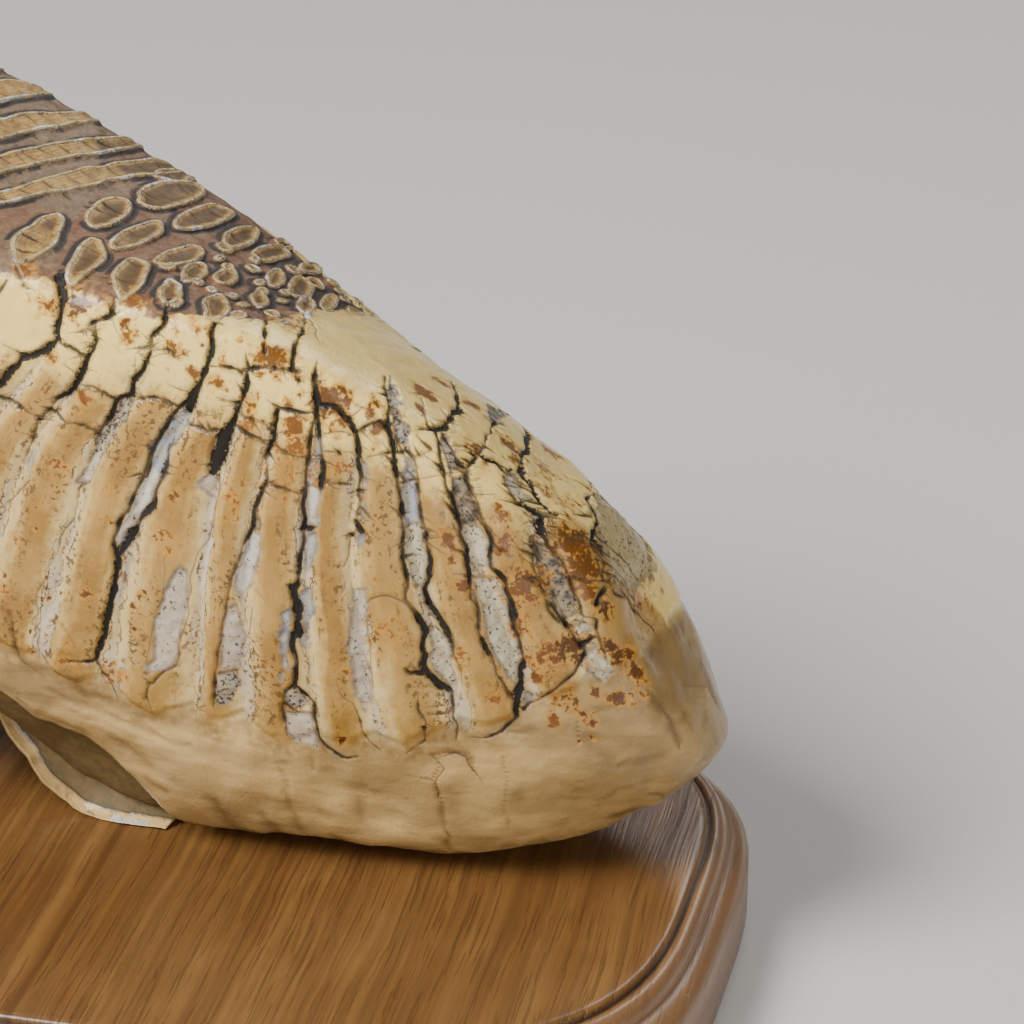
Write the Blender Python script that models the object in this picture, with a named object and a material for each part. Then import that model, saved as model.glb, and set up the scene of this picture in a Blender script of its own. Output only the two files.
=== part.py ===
"""Fossil mammoth molar standing on its moulded wooden base, as two closed solids.

Metres, +Z up, origin at the centre of the base's underside. The molar's length runs along X:
its low, unworn end points to +X and its high, worn end to -X. The driving dimensions below are
in millimetres, and every mesh is made in metres from them.
"""
import math

import bmesh
import bpy
import numpy as np

MM = 0.001

# Wooden base, a rounded oblong plinth
BASE_HALF_LENGTH = 140.0
BASE_HALF_WIDTH = 78.0
BASE_HEIGHT = 20.0
BASE_ROUNDNESS = 3.3
BASE_SEGMENTS = 60
# Routed edge from the underside up to the flat top, as inset from the outline and height
BASE_PROFILE = (
    (1.0, 0.0), (0.0, 1.0), (0.0, 11.6), (0.9, 13.6), (3.2, 15.3), (4.1, 15.9),
    (4.6, 17.4), (6.6, 18.9), (7.5, 18.6), (8.2, 19.7), (9.0, BASE_HEIGHT),
)

# Molar, in its own frame: X along its length, Y across it, Z up from the base's underside
MOLAR_GAP = 0.3
MOLAR_YAW = math.radians(-6.0)
MOLAR_FLOOR = BASE_HEIGHT + MOLAR_GAP
PLATE_PITCH = 10.4
PLATE_HEIGHT = 90.0
PLATE_PHASE = 5.2
FAN_CENTRE = 78.0
FAN_LEAN = 0.56
FAN_WIDTH = 50.0
FAN_FADE = 0.65
FAN_FADE_START = 20.0
FAN_FADE_LENGTH = 120.0
PLATE_SKEW = 0.22
SKEW_START = 50.0
SKEW_LENGTH = 80.0
# Middle line across the molar, which bends at the low end, and the axis that the plates ring
MIDDLE_Y = 19.0
BEND_START = 60.0
BEND_LENGTH = 80.0
BEND_SHIFT = 7.0
AXIS_STATIONS = (-110.0, 0.0, 60.0, 90.0, 108.0, 124.0)
AXIS_HEIGHTS = (90.0, 84.0, 76.0, 68.0, 61.0, 53.0)

# Half width at each height, near half and far half alike
SIDE_HEIGHTS = (18.0, 24.0, 32.0, 44.0, 60.0, 80.0, 105.0, 135.0, 170.0)
SIDE_HALF_WIDTHS = (23.0, 25.0, 28.5, 32.0, 34.5, 36.0, 34.5, 32.0, 29.0)
# Reach of the two ends at each height
END_HEIGHTS = (18.0, 26.0, 38.0, 52.0, 75.0, 110.0, 165.0)
LOW_END_REACH = (106.0, 114.0, 121.0, 124.0, 117.0, 109.0, 104.0)
HIGH_END_REACH = (96.0, 106.0, 114.0, 118.0, 116.0, 108.0, 92.0)
MIDDLE_X = 15.0
END_SQUARENESS = 2.3

# Height of the top along its near edge and its far edge
TOP_STATIONS = (-125.0, -95.0, -60.0, -20.0, 0.0, 20.0, 40.0, 55.0, 70.0, 85.0, 100.0, 112.0,
                122.0, 132.0, 142.0, 155.0)
TOP_NEAR = (98.0, 126.0, 145.0, 146.0, 140.0, 136.0, 133.5, 131.0, 126.0, 117.0, 106.0, 95.0,
            80.0, 58.0, 38.0, 20.0)
TOP_FAR = (94.0, 127.0, 151.0, 156.0, 146.5, 136.0, 124.5, 114.0, 104.0, 94.0, 84.0, 75.0,
           64.0, 49.0, 36.0, 20.0)
TOP_NEAR_Y = -12.0
TOP_FAR_Y = 50.0
TOP_CROWN = 5.0
TOP_CROWN_FALL = 3.0
CROWN_START = 45.0
CROWN_FULL = 95.0
EDGE_ROUND = 6.0
CAP_ROUND = 1.0

# Roots: the main one, the open arch beside it and the small root under the high end
ARCH_EDGE_X = 16.0
ARCH_SLANT = 1.1
ARCH_TURN = 22.0
ARCH_RISE = 24.0
ARCH_BLEND = 30.0
HIGH_ROOT_X = -62.0
HIGH_ROOT_BLEND = 30.0
HOLLOW_CENTRE = (12.0, -6.0, 30.0)
HOLLOW_SIZE = (20.0, 16.0, 14.0)
HOLLOW_DEPTH = 7.0
HOLLOW_FALL = 1.5
LOW_LIFT_START = 98.0
LOW_LIFT = 0.012

# Relief: columns down the sides, ridges across the worn top, soft lumps on the roots
COLUMN_RELIEF = 1.8
COLUMN_SHARPNESS = 0.6
COLUMN_LEVEL = 0.75
RIDGE_RELIEF = 0.9
WORN_END_X = 58.0
WORN_BLEND = 12.0
WORN_FACING = 0.55
WORN_FACING_BLEND = 0.3
LUMP_RELIEF = 0.8
CROWN_LUMP_SHARE = 0.4
CROWN_FOOT = 54.0
CROWN_FOOT_RISE = 0.0045
CROWN_FOOT_LOW_X = 62.0
FOOT_BLEND = 12.0

# Faces: sheets per plate, and points around each sheet
SHEETS_PER_PLATE = 4
MOLAR_AROUND = 44
OUTLINE_RAYS = 360
TURN_WEIGHT = 16.0
END_SHEETS = (0.15, 0.6, 1.35)
SEARCH_LENGTH = 160.0
SEARCH_RADIUS = 130.0
SEARCH_STEPS = 36
SLOPE_STEP = 0.2

# Colours as red, green, blue
TOOTH_IVORY = (0.62, 0.49, 0.31)
OAK_BROWN = (0.33, 0.18, 0.07)


def smooth_curve(x, stations, values):
    """A smooth curve through the values at the stations, level outside them."""
    stations = np.asarray(stations, float)
    values = np.asarray(values, float)
    slopes = np.gradient(values, stations)
    x = np.clip(x, stations[0], stations[-1])
    cell = np.clip(np.searchsorted(stations, x) - 1, 0, len(stations) - 2)
    width = stations[cell + 1] - stations[cell]
    t = (x - stations[cell]) / width
    rise = values[cell + 1] - values[cell]
    bend_in = slopes[cell] * width - rise
    bend_out = rise - slopes[cell + 1] * width
    return values[cell] + t * rise + t * (1 - t) * ((1 - t) * bend_in + t * bend_out)


def smooth_step(t):
    """From 0 to 1 with level ends while t goes from 0 to 1."""
    t = np.clip(t, 0.0, 1.0)
    return t * t * (3 - 2 * t)


def round_max(a, b, radius):
    """The larger of two distances, with the corner between them rounded."""
    return 0.5 * (a + b + np.sqrt((a - b) ** 2 + radius ** 2))


def middle_line(x):
    """Across-place of the molar's middle line."""
    return MIDDLE_Y + BEND_SHIFT * smooth_step((x - BEND_START) / BEND_LENGTH)


def top_height(x, y):
    """Height of the molar's top surface."""
    near = smooth_curve(x, TOP_STATIONS, TOP_NEAR)
    far = smooth_curve(x, TOP_STATIONS, TOP_FAR)
    t = (y - TOP_NEAR_Y) / (TOP_FAR_Y - TOP_NEAR_Y)
    crown = TOP_CROWN * smooth_step((x - CROWN_START) / (CROWN_FULL - CROWN_START))
    return near + (far - near) * t + crown * np.maximum(4 * t * (1 - t), -TOP_CROWN_FALL)


def bottom_height(x, y):
    """Height of the molar's underside: main root, arch, small root and the lifted low end."""
    edge = ARCH_EDGE_X - ARCH_SLANT * ARCH_TURN * np.tanh(y / ARCH_TURN)
    arch = smooth_step((edge - x) / ARCH_BLEND)
    high_root = smooth_step((x - HIGH_ROOT_X) / HIGH_ROOT_BLEND)
    lift = LOW_LIFT * np.maximum(x - LOW_LIFT_START, 0.0) ** 2
    return MOLAR_FLOOR + ARCH_RISE * arch * high_root + lift


def outside(x, y, z):
    """Below zero inside the molar's plain form, above zero outside it."""
    half_width = smooth_curve(z, SIDE_HEIGHTS, SIDE_HALF_WIDTHS)
    low_reach = smooth_curve(z, END_HEIGHTS, LOW_END_REACH)
    high_reach = smooth_curve(z, END_HEIGHTS, HIGH_END_REACH)
    reach = np.where(x > MIDDLE_X, low_reach, high_reach)
    along = np.abs(x - MIDDLE_X) / reach
    across = np.abs(y - middle_line(x)) / half_width
    plan = (along ** END_SQUARENESS + across ** END_SQUARENESS) ** (1 / END_SQUARENESS)
    sides = (plan - 1.0) * half_width
    caps = round_max(z - top_height(x, y), bottom_height(x, y) - z, CAP_ROUND)
    hollow = sum(((place - centre) / size) ** 2 for place, centre, size
                 in zip((x, y, z), HOLLOW_CENTRE, HOLLOW_SIZE))
    return round_max(sides, caps, EDGE_ROUND) + HOLLOW_DEPTH * np.exp(-hollow * HOLLOW_FALL)


def plate_place(x_mid, y, z):
    """Along-place of the plate sheet that crosses the middle line at x_mid."""
    fade = 1.0 - FAN_FADE * smooth_step((FAN_FADE_START - x_mid) / FAN_FADE_LENGTH)
    lean = FAN_LEAN * np.tanh((FAN_CENTRE - x_mid) / FAN_WIDTH) * fade
    skew = PLATE_SKEW * (y - middle_line(x_mid)) * smooth_step((z - SKEW_START) / SKEW_LENGTH)
    return x_mid + lean * (z - PLATE_HEIGHT) + skew


def axis_height(x_mid):
    """Height of the axis from which each plate's outline is measured."""
    return smooth_curve(x_mid, AXIS_STATIONS, AXIS_HEIGHTS)


def sheet_outside(x_mid, angle, radius):
    """Where a sheet's ray ends, and how far outside the form that is."""
    y = middle_line(x_mid) + radius * np.cos(angle)
    z = axis_height(x_mid) + radius * np.sin(angle)
    x = plate_place(x_mid, y, z)
    return x, y, z, outside(x, y, z)


def end_of_sheets(inner, outer):
    """The last sheet, towards outer, whose axis is still inside the form."""
    for _ in range(SEARCH_STEPS):
        middle = 0.5 * (inner + outer)
        if sheet_outside(np.array(middle), 0.0, 0.0)[3] < 0:
            inner = middle
        else:
            outer = middle
    return inner


def plain_surface(x_mid, angle):
    """Points of the plain form on the rays of the given sheets and angles."""
    low = np.zeros(np.broadcast(x_mid, angle).shape)
    high = np.full(low.shape, SEARCH_RADIUS)
    for _ in range(SEARCH_STEPS):
        radius = 0.5 * (low + high)
        inside = sheet_outside(x_mid, angle, radius)[3] < 0
        low = np.where(inside, radius, low)
        high = np.where(inside, high, radius)
    x, y, z, _ = sheet_outside(x_mid, angle, low)
    return np.stack([x, y, z], axis=-1)


def outward(points):
    """Unit vectors that point straight out of the plain form at its points."""
    parts = []
    for axis in range(3):
        ahead, behind = points.copy(), points.copy()
        ahead[..., axis] += SLOPE_STEP
        behind[..., axis] -= SLOPE_STEP
        ahead_value = outside(ahead[..., 0], ahead[..., 1], ahead[..., 2])
        parts.append(ahead_value - outside(behind[..., 0], behind[..., 1], behind[..., 2]))
    gradient = np.stack(parts, axis=-1)
    return gradient / np.linalg.norm(gradient, axis=-1, keepdims=True)


def crown_foot(x):
    """Height of the line where the crown's columns end and the root begins."""
    return CROWN_FOOT + CROWN_FOOT_RISE * (x - CROWN_FOOT_LOW_X) ** 2


def relief(x_mid, points, normals):
    """How far each point of the surface stands out from the plain form."""
    x, y, z = points[..., 0], points[..., 1], points[..., 2]
    plate = (x_mid - PLATE_PHASE) / PLATE_PITCH
    column = np.abs(np.sin(math.pi * plate)) ** COLUMN_SHARPNESS - COLUMN_LEVEL
    ridge = -np.cos(2 * math.pi * plate)
    crown = smooth_step((z - crown_foot(x)) / FOOT_BLEND)
    facing_up = smooth_step((normals[..., 2] - WORN_FACING) / WORN_FACING_BLEND)
    worn = facing_up * smooth_step((WORN_END_X - x) / WORN_BLEND)
    lump = (np.sin(x / 9.0 + 1.3 * np.sin(z / 11.0)) * np.sin(z / 8.0 + y / 13.0 + 0.7)
            + 0.5 * np.sin(x / 17.0 - y / 7.0))
    side = COLUMN_RELIEF * column * crown * (1.0 - worn)
    lumps = LUMP_RELIEF * lump * (1.0 - (1.0 - CROWN_LUMP_SHARE) * crown)
    return side + RIDGE_RELIEF * ridge * worn + lumps


def turned(points):
    """Points turned from the molar's own frame to where it stands on the base."""
    cos, sin = math.cos(MOLAR_YAW), math.sin(MOLAR_YAW)
    x, y, z = points[..., 0], points[..., 1], points[..., 2]
    return np.stack([x * cos - y * sin, x * sin + y * cos, z], axis=-1)


def sheet_places(first, last):
    """Along-places of the sheets, in step with the plates and closer at the two ends."""
    step = PLATE_PITCH / SHEETS_PER_PLATE
    clear = END_SHEETS[-1] + 0.5 * step
    start = math.ceil((first + clear - PLATE_PHASE) / step)
    stop = math.floor((last - clear - PLATE_PHASE) / step)
    middle = [PLATE_PHASE + step * index for index in range(start, stop + 1)]
    return [first + gap for gap in END_SHEETS] + middle + [last - gap for gap in END_SHEETS[::-1]]


def spread_points(outlines):
    """Points spread along each outline by its length, and closer where it turns."""
    edges = np.roll(outlines, -1, axis=1) - outlines
    length = np.linalg.norm(edges, axis=-1)
    direction = edges / np.maximum(length, 1e-9)[..., None]
    turn = np.linalg.norm(direction - np.roll(direction, 1, axis=1), axis=-1)
    weight = np.cumsum(length + TURN_WEIGHT * turn, axis=1)
    spread = []
    for outline, reach in zip(outlines, weight):
        closed = np.vstack([outline, outline[:1]])
        marks = np.concatenate([[0.0], reach])
        wanted = np.linspace(0.0, reach[-1], MOLAR_AROUND, endpoint=False)
        spread.append(np.stack([np.interp(wanted, marks, closed[:, axis]) for axis in range(3)], axis=-1))
    return np.array(spread)


def molar_rings():
    """The molar's two end points and the rings of points between them."""
    first = end_of_sheets(0.0, -SEARCH_LENGTH)
    last = end_of_sheets(0.0, SEARCH_LENGTH)
    places = np.array(sheet_places(first, last))[:, None]
    angles = np.linspace(-0.5 * math.pi, 1.5 * math.pi, OUTLINE_RAYS, endpoint=False)[None, :]
    points = spread_points(plain_surface(places, angles))
    normals = outward(points)
    points += normals * relief(places, points, normals)[..., None]
    points[..., 2] = np.maximum(points[..., 2], MOLAR_FLOOR)
    ends = [np.array(sheet_outside(np.array(place), 0.0, 0.0)[:3]) for place in (first, last)]
    return turned(ends[0]), turned(points), turned(ends[1])


def ring_mesh(rings, closed_ends):
    """A closed mesh through rings of points, ended by points or by flat caps."""
    mesh = bmesh.new()
    loops = [[mesh.verts.new(point * MM) for point in ring] for ring in rings]
    for ring, following in zip(loops, loops[1:]):
        for index, vertex in enumerate(ring):
            after = (index + 1) % len(ring)
            mesh.faces.new((vertex, following[index], following[after], ring[after]))
    for loop, end in zip((loops[0], loops[-1]), closed_ends):
        if end is None:
            mesh.faces.new(loop)
            continue
        tip = mesh.verts.new(end * MM)
        for index, vertex in enumerate(loop):
            mesh.faces.new((tip, vertex, loop[(index + 1) % len(loop)]))
    bmesh.ops.recalc_face_normals(mesh, faces=mesh.faces)
    return mesh


def base_rings():
    """Rings of the base's routed edge, from its underside up to its flat top."""
    angles = np.linspace(0.0, 2 * math.pi, BASE_SEGMENTS, endpoint=False)
    power = 2.0 / BASE_ROUNDNESS
    along = np.sign(np.cos(angles)) * np.abs(np.cos(angles)) ** power
    across = np.sign(np.sin(angles)) * np.abs(np.sin(angles)) ** power
    rings = []
    for inset, height in BASE_PROFILE:
        ring = np.stack([(BASE_HALF_LENGTH - inset) * along, (BASE_HALF_WIDTH - inset) * across,
                         np.full(BASE_SEGMENTS, height)], axis=-1)
        rings.append(ring)
    return rings


def finish(name, colour, roughness):
    """A plain material for one piece."""
    material = bpy.data.materials.new(name)
    material.use_nodes = True
    shader = material.node_tree.nodes["Principled BSDF"]
    shader.inputs["Base Color"].default_value = (*colour, 1.0)
    shader.inputs["Roughness"].default_value = roughness
    shader.inputs["Metallic"].default_value = 0.0
    return material


def place_piece(name, mesh, material, sharp_angle):
    """Puts a finished mesh into the scene as a named object."""
    data = bpy.data.meshes.new(name)
    mesh.to_mesh(data)
    mesh.free()
    data.materials.append(material)
    data.shade_smooth()
    data.set_sharp_from_angle(angle=math.radians(sharp_angle))
    piece = bpy.data.objects.new(name, data)
    bpy.context.scene.collection.objects.link(piece)
    return piece


def make_molar():
    """The molar, one piece from its grinding face to its roots."""
    first_tip, rings, last_tip = molar_rings()
    mesh = ring_mesh(rings, (first_tip, last_tip))
    return place_piece("molar", mesh, finish("tooth_ivory", TOOTH_IVORY, 0.3), 50.0)


def make_wooden_base():
    """The oblong wooden base with its routed edge."""
    mesh = ring_mesh(base_rings(), (None, None))
    return place_piece("wooden_base", mesh, finish("oak_brown", OAK_BROWN, 0.35), 28.0)


for old in list(bpy.data.objects):
    bpy.data.objects.remove(old, do_unlink=True)
make_wooden_base()
make_molar()
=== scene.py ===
"""Dressed look of a fossil mammoth molar on its moulded wooden base.

Shapes are worked out in millimetres, in the molar's own frame: X along its length, Y across it,
Z up from the base's underside. Meshes are in metres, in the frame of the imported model. A place
on the molar's surface is given by its plate, counted along the tooth, and by its rise, the
length along the surface up from the middle of the near side.
"""

import logging
import math
from dataclasses import dataclass
from enum import Enum
from typing import Callable, Iterable, Optional, Sequence, Union

import bpy
import numpy as np
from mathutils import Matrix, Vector


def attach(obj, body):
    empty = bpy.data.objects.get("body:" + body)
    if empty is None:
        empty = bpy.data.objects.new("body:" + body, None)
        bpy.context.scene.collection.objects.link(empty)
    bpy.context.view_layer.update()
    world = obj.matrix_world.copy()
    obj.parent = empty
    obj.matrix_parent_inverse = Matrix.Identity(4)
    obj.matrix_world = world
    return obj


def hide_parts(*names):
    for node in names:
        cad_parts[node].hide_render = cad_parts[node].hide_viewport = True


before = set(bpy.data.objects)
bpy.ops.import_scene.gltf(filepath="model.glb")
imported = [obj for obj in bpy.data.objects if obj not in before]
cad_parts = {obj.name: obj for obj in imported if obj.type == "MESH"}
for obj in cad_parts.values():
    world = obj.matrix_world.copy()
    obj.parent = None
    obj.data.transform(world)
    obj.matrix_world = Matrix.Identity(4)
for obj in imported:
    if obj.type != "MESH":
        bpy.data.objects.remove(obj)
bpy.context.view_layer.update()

MM = 0.001
LOG = logging.getLogger("molar")
Colour = tuple[float, float, float]
Socket = Union[bpy.types.NodeSocket, float, Colour]


def smooth_curve(x: np.ndarray, stations: Sequence[float], values: Sequence[float]) -> np.ndarray:
    """A smooth curve through values at stations.

    Args:
        x: where the curve is read.
        stations: places of the values, rising.
        values: the curve's values there.

    Returns:
        The curve's value at each x, level outside the stations.
    """
    places = np.asarray(stations, float)
    heights = np.asarray(values, float)
    slopes = np.gradient(heights, places)
    x = np.clip(x, places[0], places[-1])
    cell = np.clip(np.searchsorted(places, x) - 1, 0, len(places) - 2)
    width = places[cell + 1] - places[cell]
    t = (x - places[cell]) / width
    rise = heights[cell + 1] - heights[cell]
    bend_in = slopes[cell] * width - rise
    bend_out = rise - slopes[cell + 1] * width
    return heights[cell] + t * rise + t * (1 - t) * ((1 - t) * bend_in + t * bend_out)


def smooth_step(t: np.ndarray) -> np.ndarray:
    """From 0 to 1 with level ends while t goes from 0 to 1."""
    t = np.clip(t, 0.0, 1.0)
    return t * t * (3 - 2 * t)


def round_max(a: np.ndarray, b: np.ndarray, radius: float) -> np.ndarray:
    """The larger of two distances, with the corner between them rounded."""
    return 0.5 * (a + b + np.sqrt((a - b) ** 2 + radius ** 2))


class Noise:
    """Smooth value noise in space, from one fixed seed."""

    def __init__(self, seed: int) -> None:
        """Fills the table of random values."""
        self.table = np.random.default_rng(seed).random((32, 32, 32)) * 2.0 - 1.0

    def __call__(self, points: np.ndarray, size: float) -> np.ndarray:
        """Noise from -1 to 1 at the points.

        Args:
            points: places, with three numbers on the last axis.
            size: length of one noise cell.

        Returns:
            One value for each point.
        """
        scaled = points / size
        corner = np.floor(scaled).astype(int)
        part = scaled - corner
        part = part * part * (3 - 2 * part)
        total = np.zeros(points.shape[:-1])
        for index in np.ndindex(2, 2, 2):
            cell = (corner + index) & 31
            weight = np.ones(points.shape[:-1])
            for axis in range(3):
                weight = weight * (part[..., axis] if index[axis] else 1 - part[..., axis])
            total += weight * self.table[cell[..., 0], cell[..., 1], cell[..., 2]]
        return total


def signed_distance(x: np.ndarray, y: np.ndarray, outline: np.ndarray) -> np.ndarray:
    """Distance to a closed outline, below zero inside it.

    Args:
        x: first coordinate of each point.
        y: second coordinate of each point.
        outline: the outline's corners, one row each.

    Returns:
        One distance for each point.
    """
    nearest = np.full(x.shape, 1e9)
    inside = np.zeros(x.shape, bool)
    for (ax, ay), (bx, by) in zip(outline, np.roll(outline, -1, axis=0)):
        dx, dy = bx - ax, by - ay
        t = np.clip(((x - ax) * dx + (y - ay) * dy) / max(dx * dx + dy * dy, 1e-9), 0.0, 1.0)
        nearest = np.minimum(nearest, (x - ax - t * dx) ** 2 + (y - ay - t * dy) ** 2)
        if ay != by:
            crosses = ((ay > y) != (by > y)) & (x < (y - ay) * dx / dy + ax)
            inside ^= crosses
    return np.sqrt(nearest) * np.where(inside, -1.0, 1.0)


@dataclass(frozen=True)
class MolarForm:
    """The molar's plain form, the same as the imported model's."""

    floor: float = 20.3
    yaw: float = math.radians(-6.0)
    pitch: float = 10.4
    phase: float = 5.2
    middle_x: float = 15.0
    squareness: float = 2.3
    edge_round: float = 6.0

    def middle_line(self, x: np.ndarray) -> np.ndarray:
        """Across-place of the molar's middle line."""
        return 19.0 + 7.0 * smooth_step((x - 60.0) / 80.0)

    def top_height(self, x: np.ndarray, y: np.ndarray) -> np.ndarray:
        """Height of the molar's top surface."""
        stations = (-125, -95, -60, -20, 0, 20, 40, 55, 70, 85, 100, 112, 122, 132, 142, 155)
        near = smooth_curve(x, stations, (98, 126, 145, 146, 140, 136, 133.5, 131, 126, 117, 106,
                                          95, 80, 58, 38, 20))
        far = smooth_curve(x, stations, (94, 127, 151, 156, 146.5, 136, 124.5, 114, 104, 94, 84,
                                         75, 64, 49, 36, 20))
        t = (y + 12.0) / 62.0
        crown = 5.0 * smooth_step((x - 45.0) / 50.0)
        return near + (far - near) * t + crown * np.maximum(4 * t * (1 - t), -3.0)

    def bottom_height(self, x: np.ndarray, y: np.ndarray) -> np.ndarray:
        """Height of the underside: main root, open arch, small root and lifted low end."""
        edge = 16.0 - 1.1 * 22.0 * np.tanh(y / 22.0)
        arch = smooth_step((edge - x) / 30.0) * smooth_step((x + 62.0) / 30.0)
        return self.floor + 24.0 * arch + 0.012 * np.maximum(x - 98.0, 0.0) ** 2

    def outside(self, x: np.ndarray, y: np.ndarray, z: np.ndarray) -> np.ndarray:
        """Below zero inside the plain form, above zero outside it."""
        half_width = smooth_curve(z, (18, 24, 32, 44, 60, 80, 105, 135, 170),
                                  (23, 25, 28.5, 32, 34.5, 36, 34.5, 32, 29))
        levels = (18, 26, 38, 52, 75, 110, 165)
        low_reach = smooth_curve(z, levels, (106, 114, 121, 124, 117, 109, 104))
        high_reach = smooth_curve(z, levels, (96, 106, 114, 118, 116, 108, 92))
        reach = np.where(x > self.middle_x, low_reach, high_reach)
        along = np.abs(x - self.middle_x) / reach
        across = np.abs(y - self.middle_line(x)) / half_width
        power = self.squareness
        plan = (along ** power + across ** power) ** (1 / power)
        caps = round_max(z - self.top_height(x, y), self.bottom_height(x, y) - z, 1.0)
        hollow = ((x - 12) / 20) ** 2 + ((y + 6) / 16) ** 2 + ((z - 30) / 14) ** 2
        return round_max((plan - 1.0) * half_width, caps, self.edge_round) + 7 * np.exp(-1.5 * hollow)

    def plate_place(self, x_mid: np.ndarray, y: np.ndarray, z: np.ndarray) -> np.ndarray:
        """Along-place of the plate sheet that crosses the middle line at x_mid."""
        fade = 1.0 - 0.65 * smooth_step((20.0 - x_mid) / 120.0)
        lean = 0.56 * np.tanh((78.0 - x_mid) / 50.0) * fade
        skew = 0.22 * (y - self.middle_line(x_mid)) * smooth_step((z - 50.0) / 80.0)
        return x_mid + lean * (z - 90.0) + skew

    def on_ray(self, x_mid: np.ndarray, angle: np.ndarray, radius: np.ndarray) -> np.ndarray:
        """The points that the sheets' rays reach at the given radii."""
        axis = smooth_curve(x_mid, (-110, 0, 60, 90, 108, 124), (90, 84, 76, 68, 61, 53))
        y = self.middle_line(x_mid) + radius * np.cos(angle)
        z = axis + radius * np.sin(angle)
        return np.stack([self.plate_place(x_mid, y, z), y, z], axis=-1)

    def reach(self, x_mid: np.ndarray, angle: np.ndarray, low: np.ndarray, high: np.ndarray,
              steps: int) -> np.ndarray:
        """Radius at which each ray leaves the form.

        Args:
            x_mid: along-places of the sheets.
            angle: angles of the rays.
            low: a radius that is still inside, for each ray.
            high: a radius that is outside, for each ray.
            steps: number of halvings.

        Returns:
            One radius for each ray.
        """
        for _ in range(steps):
            radius = 0.5 * (low + high)
            point = self.on_ray(x_mid, angle, radius)
            inside = self.outside(point[..., 0], point[..., 1], point[..., 2]) < 0
            low = np.where(inside, radius, low)
            high = np.where(inside, high, radius)
        return low

    def end(self, outer: float) -> float:
        """The last sheet towards outer whose axis is still inside the form."""
        inner = 0.0
        for _ in range(40):
            middle = 0.5 * (inner + outer)
            point = self.on_ray(np.array(middle), np.array(0.0), np.array(0.0))
            if self.outside(*point) < 0:
                inner = middle
            else:
                outer = middle
        return inner

    def crown_foot(self, x: np.ndarray) -> np.ndarray:
        """Height of the line where the crown ends and the root begins."""
        return 54.0 + 0.0045 * (x - 62.0) ** 2

    def placed(self, points: np.ndarray) -> np.ndarray:
        """Points turned to where the molar stands on the base, in metres."""
        cos, sin = math.cos(self.yaw), math.sin(self.yaw)
        x, y, z = points[..., 0], points[..., 1], points[..., 2]
        return np.stack([x * cos - y * sin, x * sin + y * cos, z], axis=-1) * MM


@dataclass(frozen=True)
class Sector:
    """Part of each sheet's outline, which becomes one piece of the molar's skin."""

    name: str
    start: float
    end: float
    count: int


SECTORS = (
    Sector("molar_underside", -90.0, -40.0, 36),
    Sector("molar_far_side", -40.0, 58.0, 165),
    Sector("grinding_face", 58.0, 125.0, 172),
    Sector("molar_near_crown", 125.0, 180.0, 126),
    Sector("molar_near_root", 180.0, 232.0, 120),
    Sector("molar_arch_side", 232.0, 270.0, 40),
)


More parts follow.
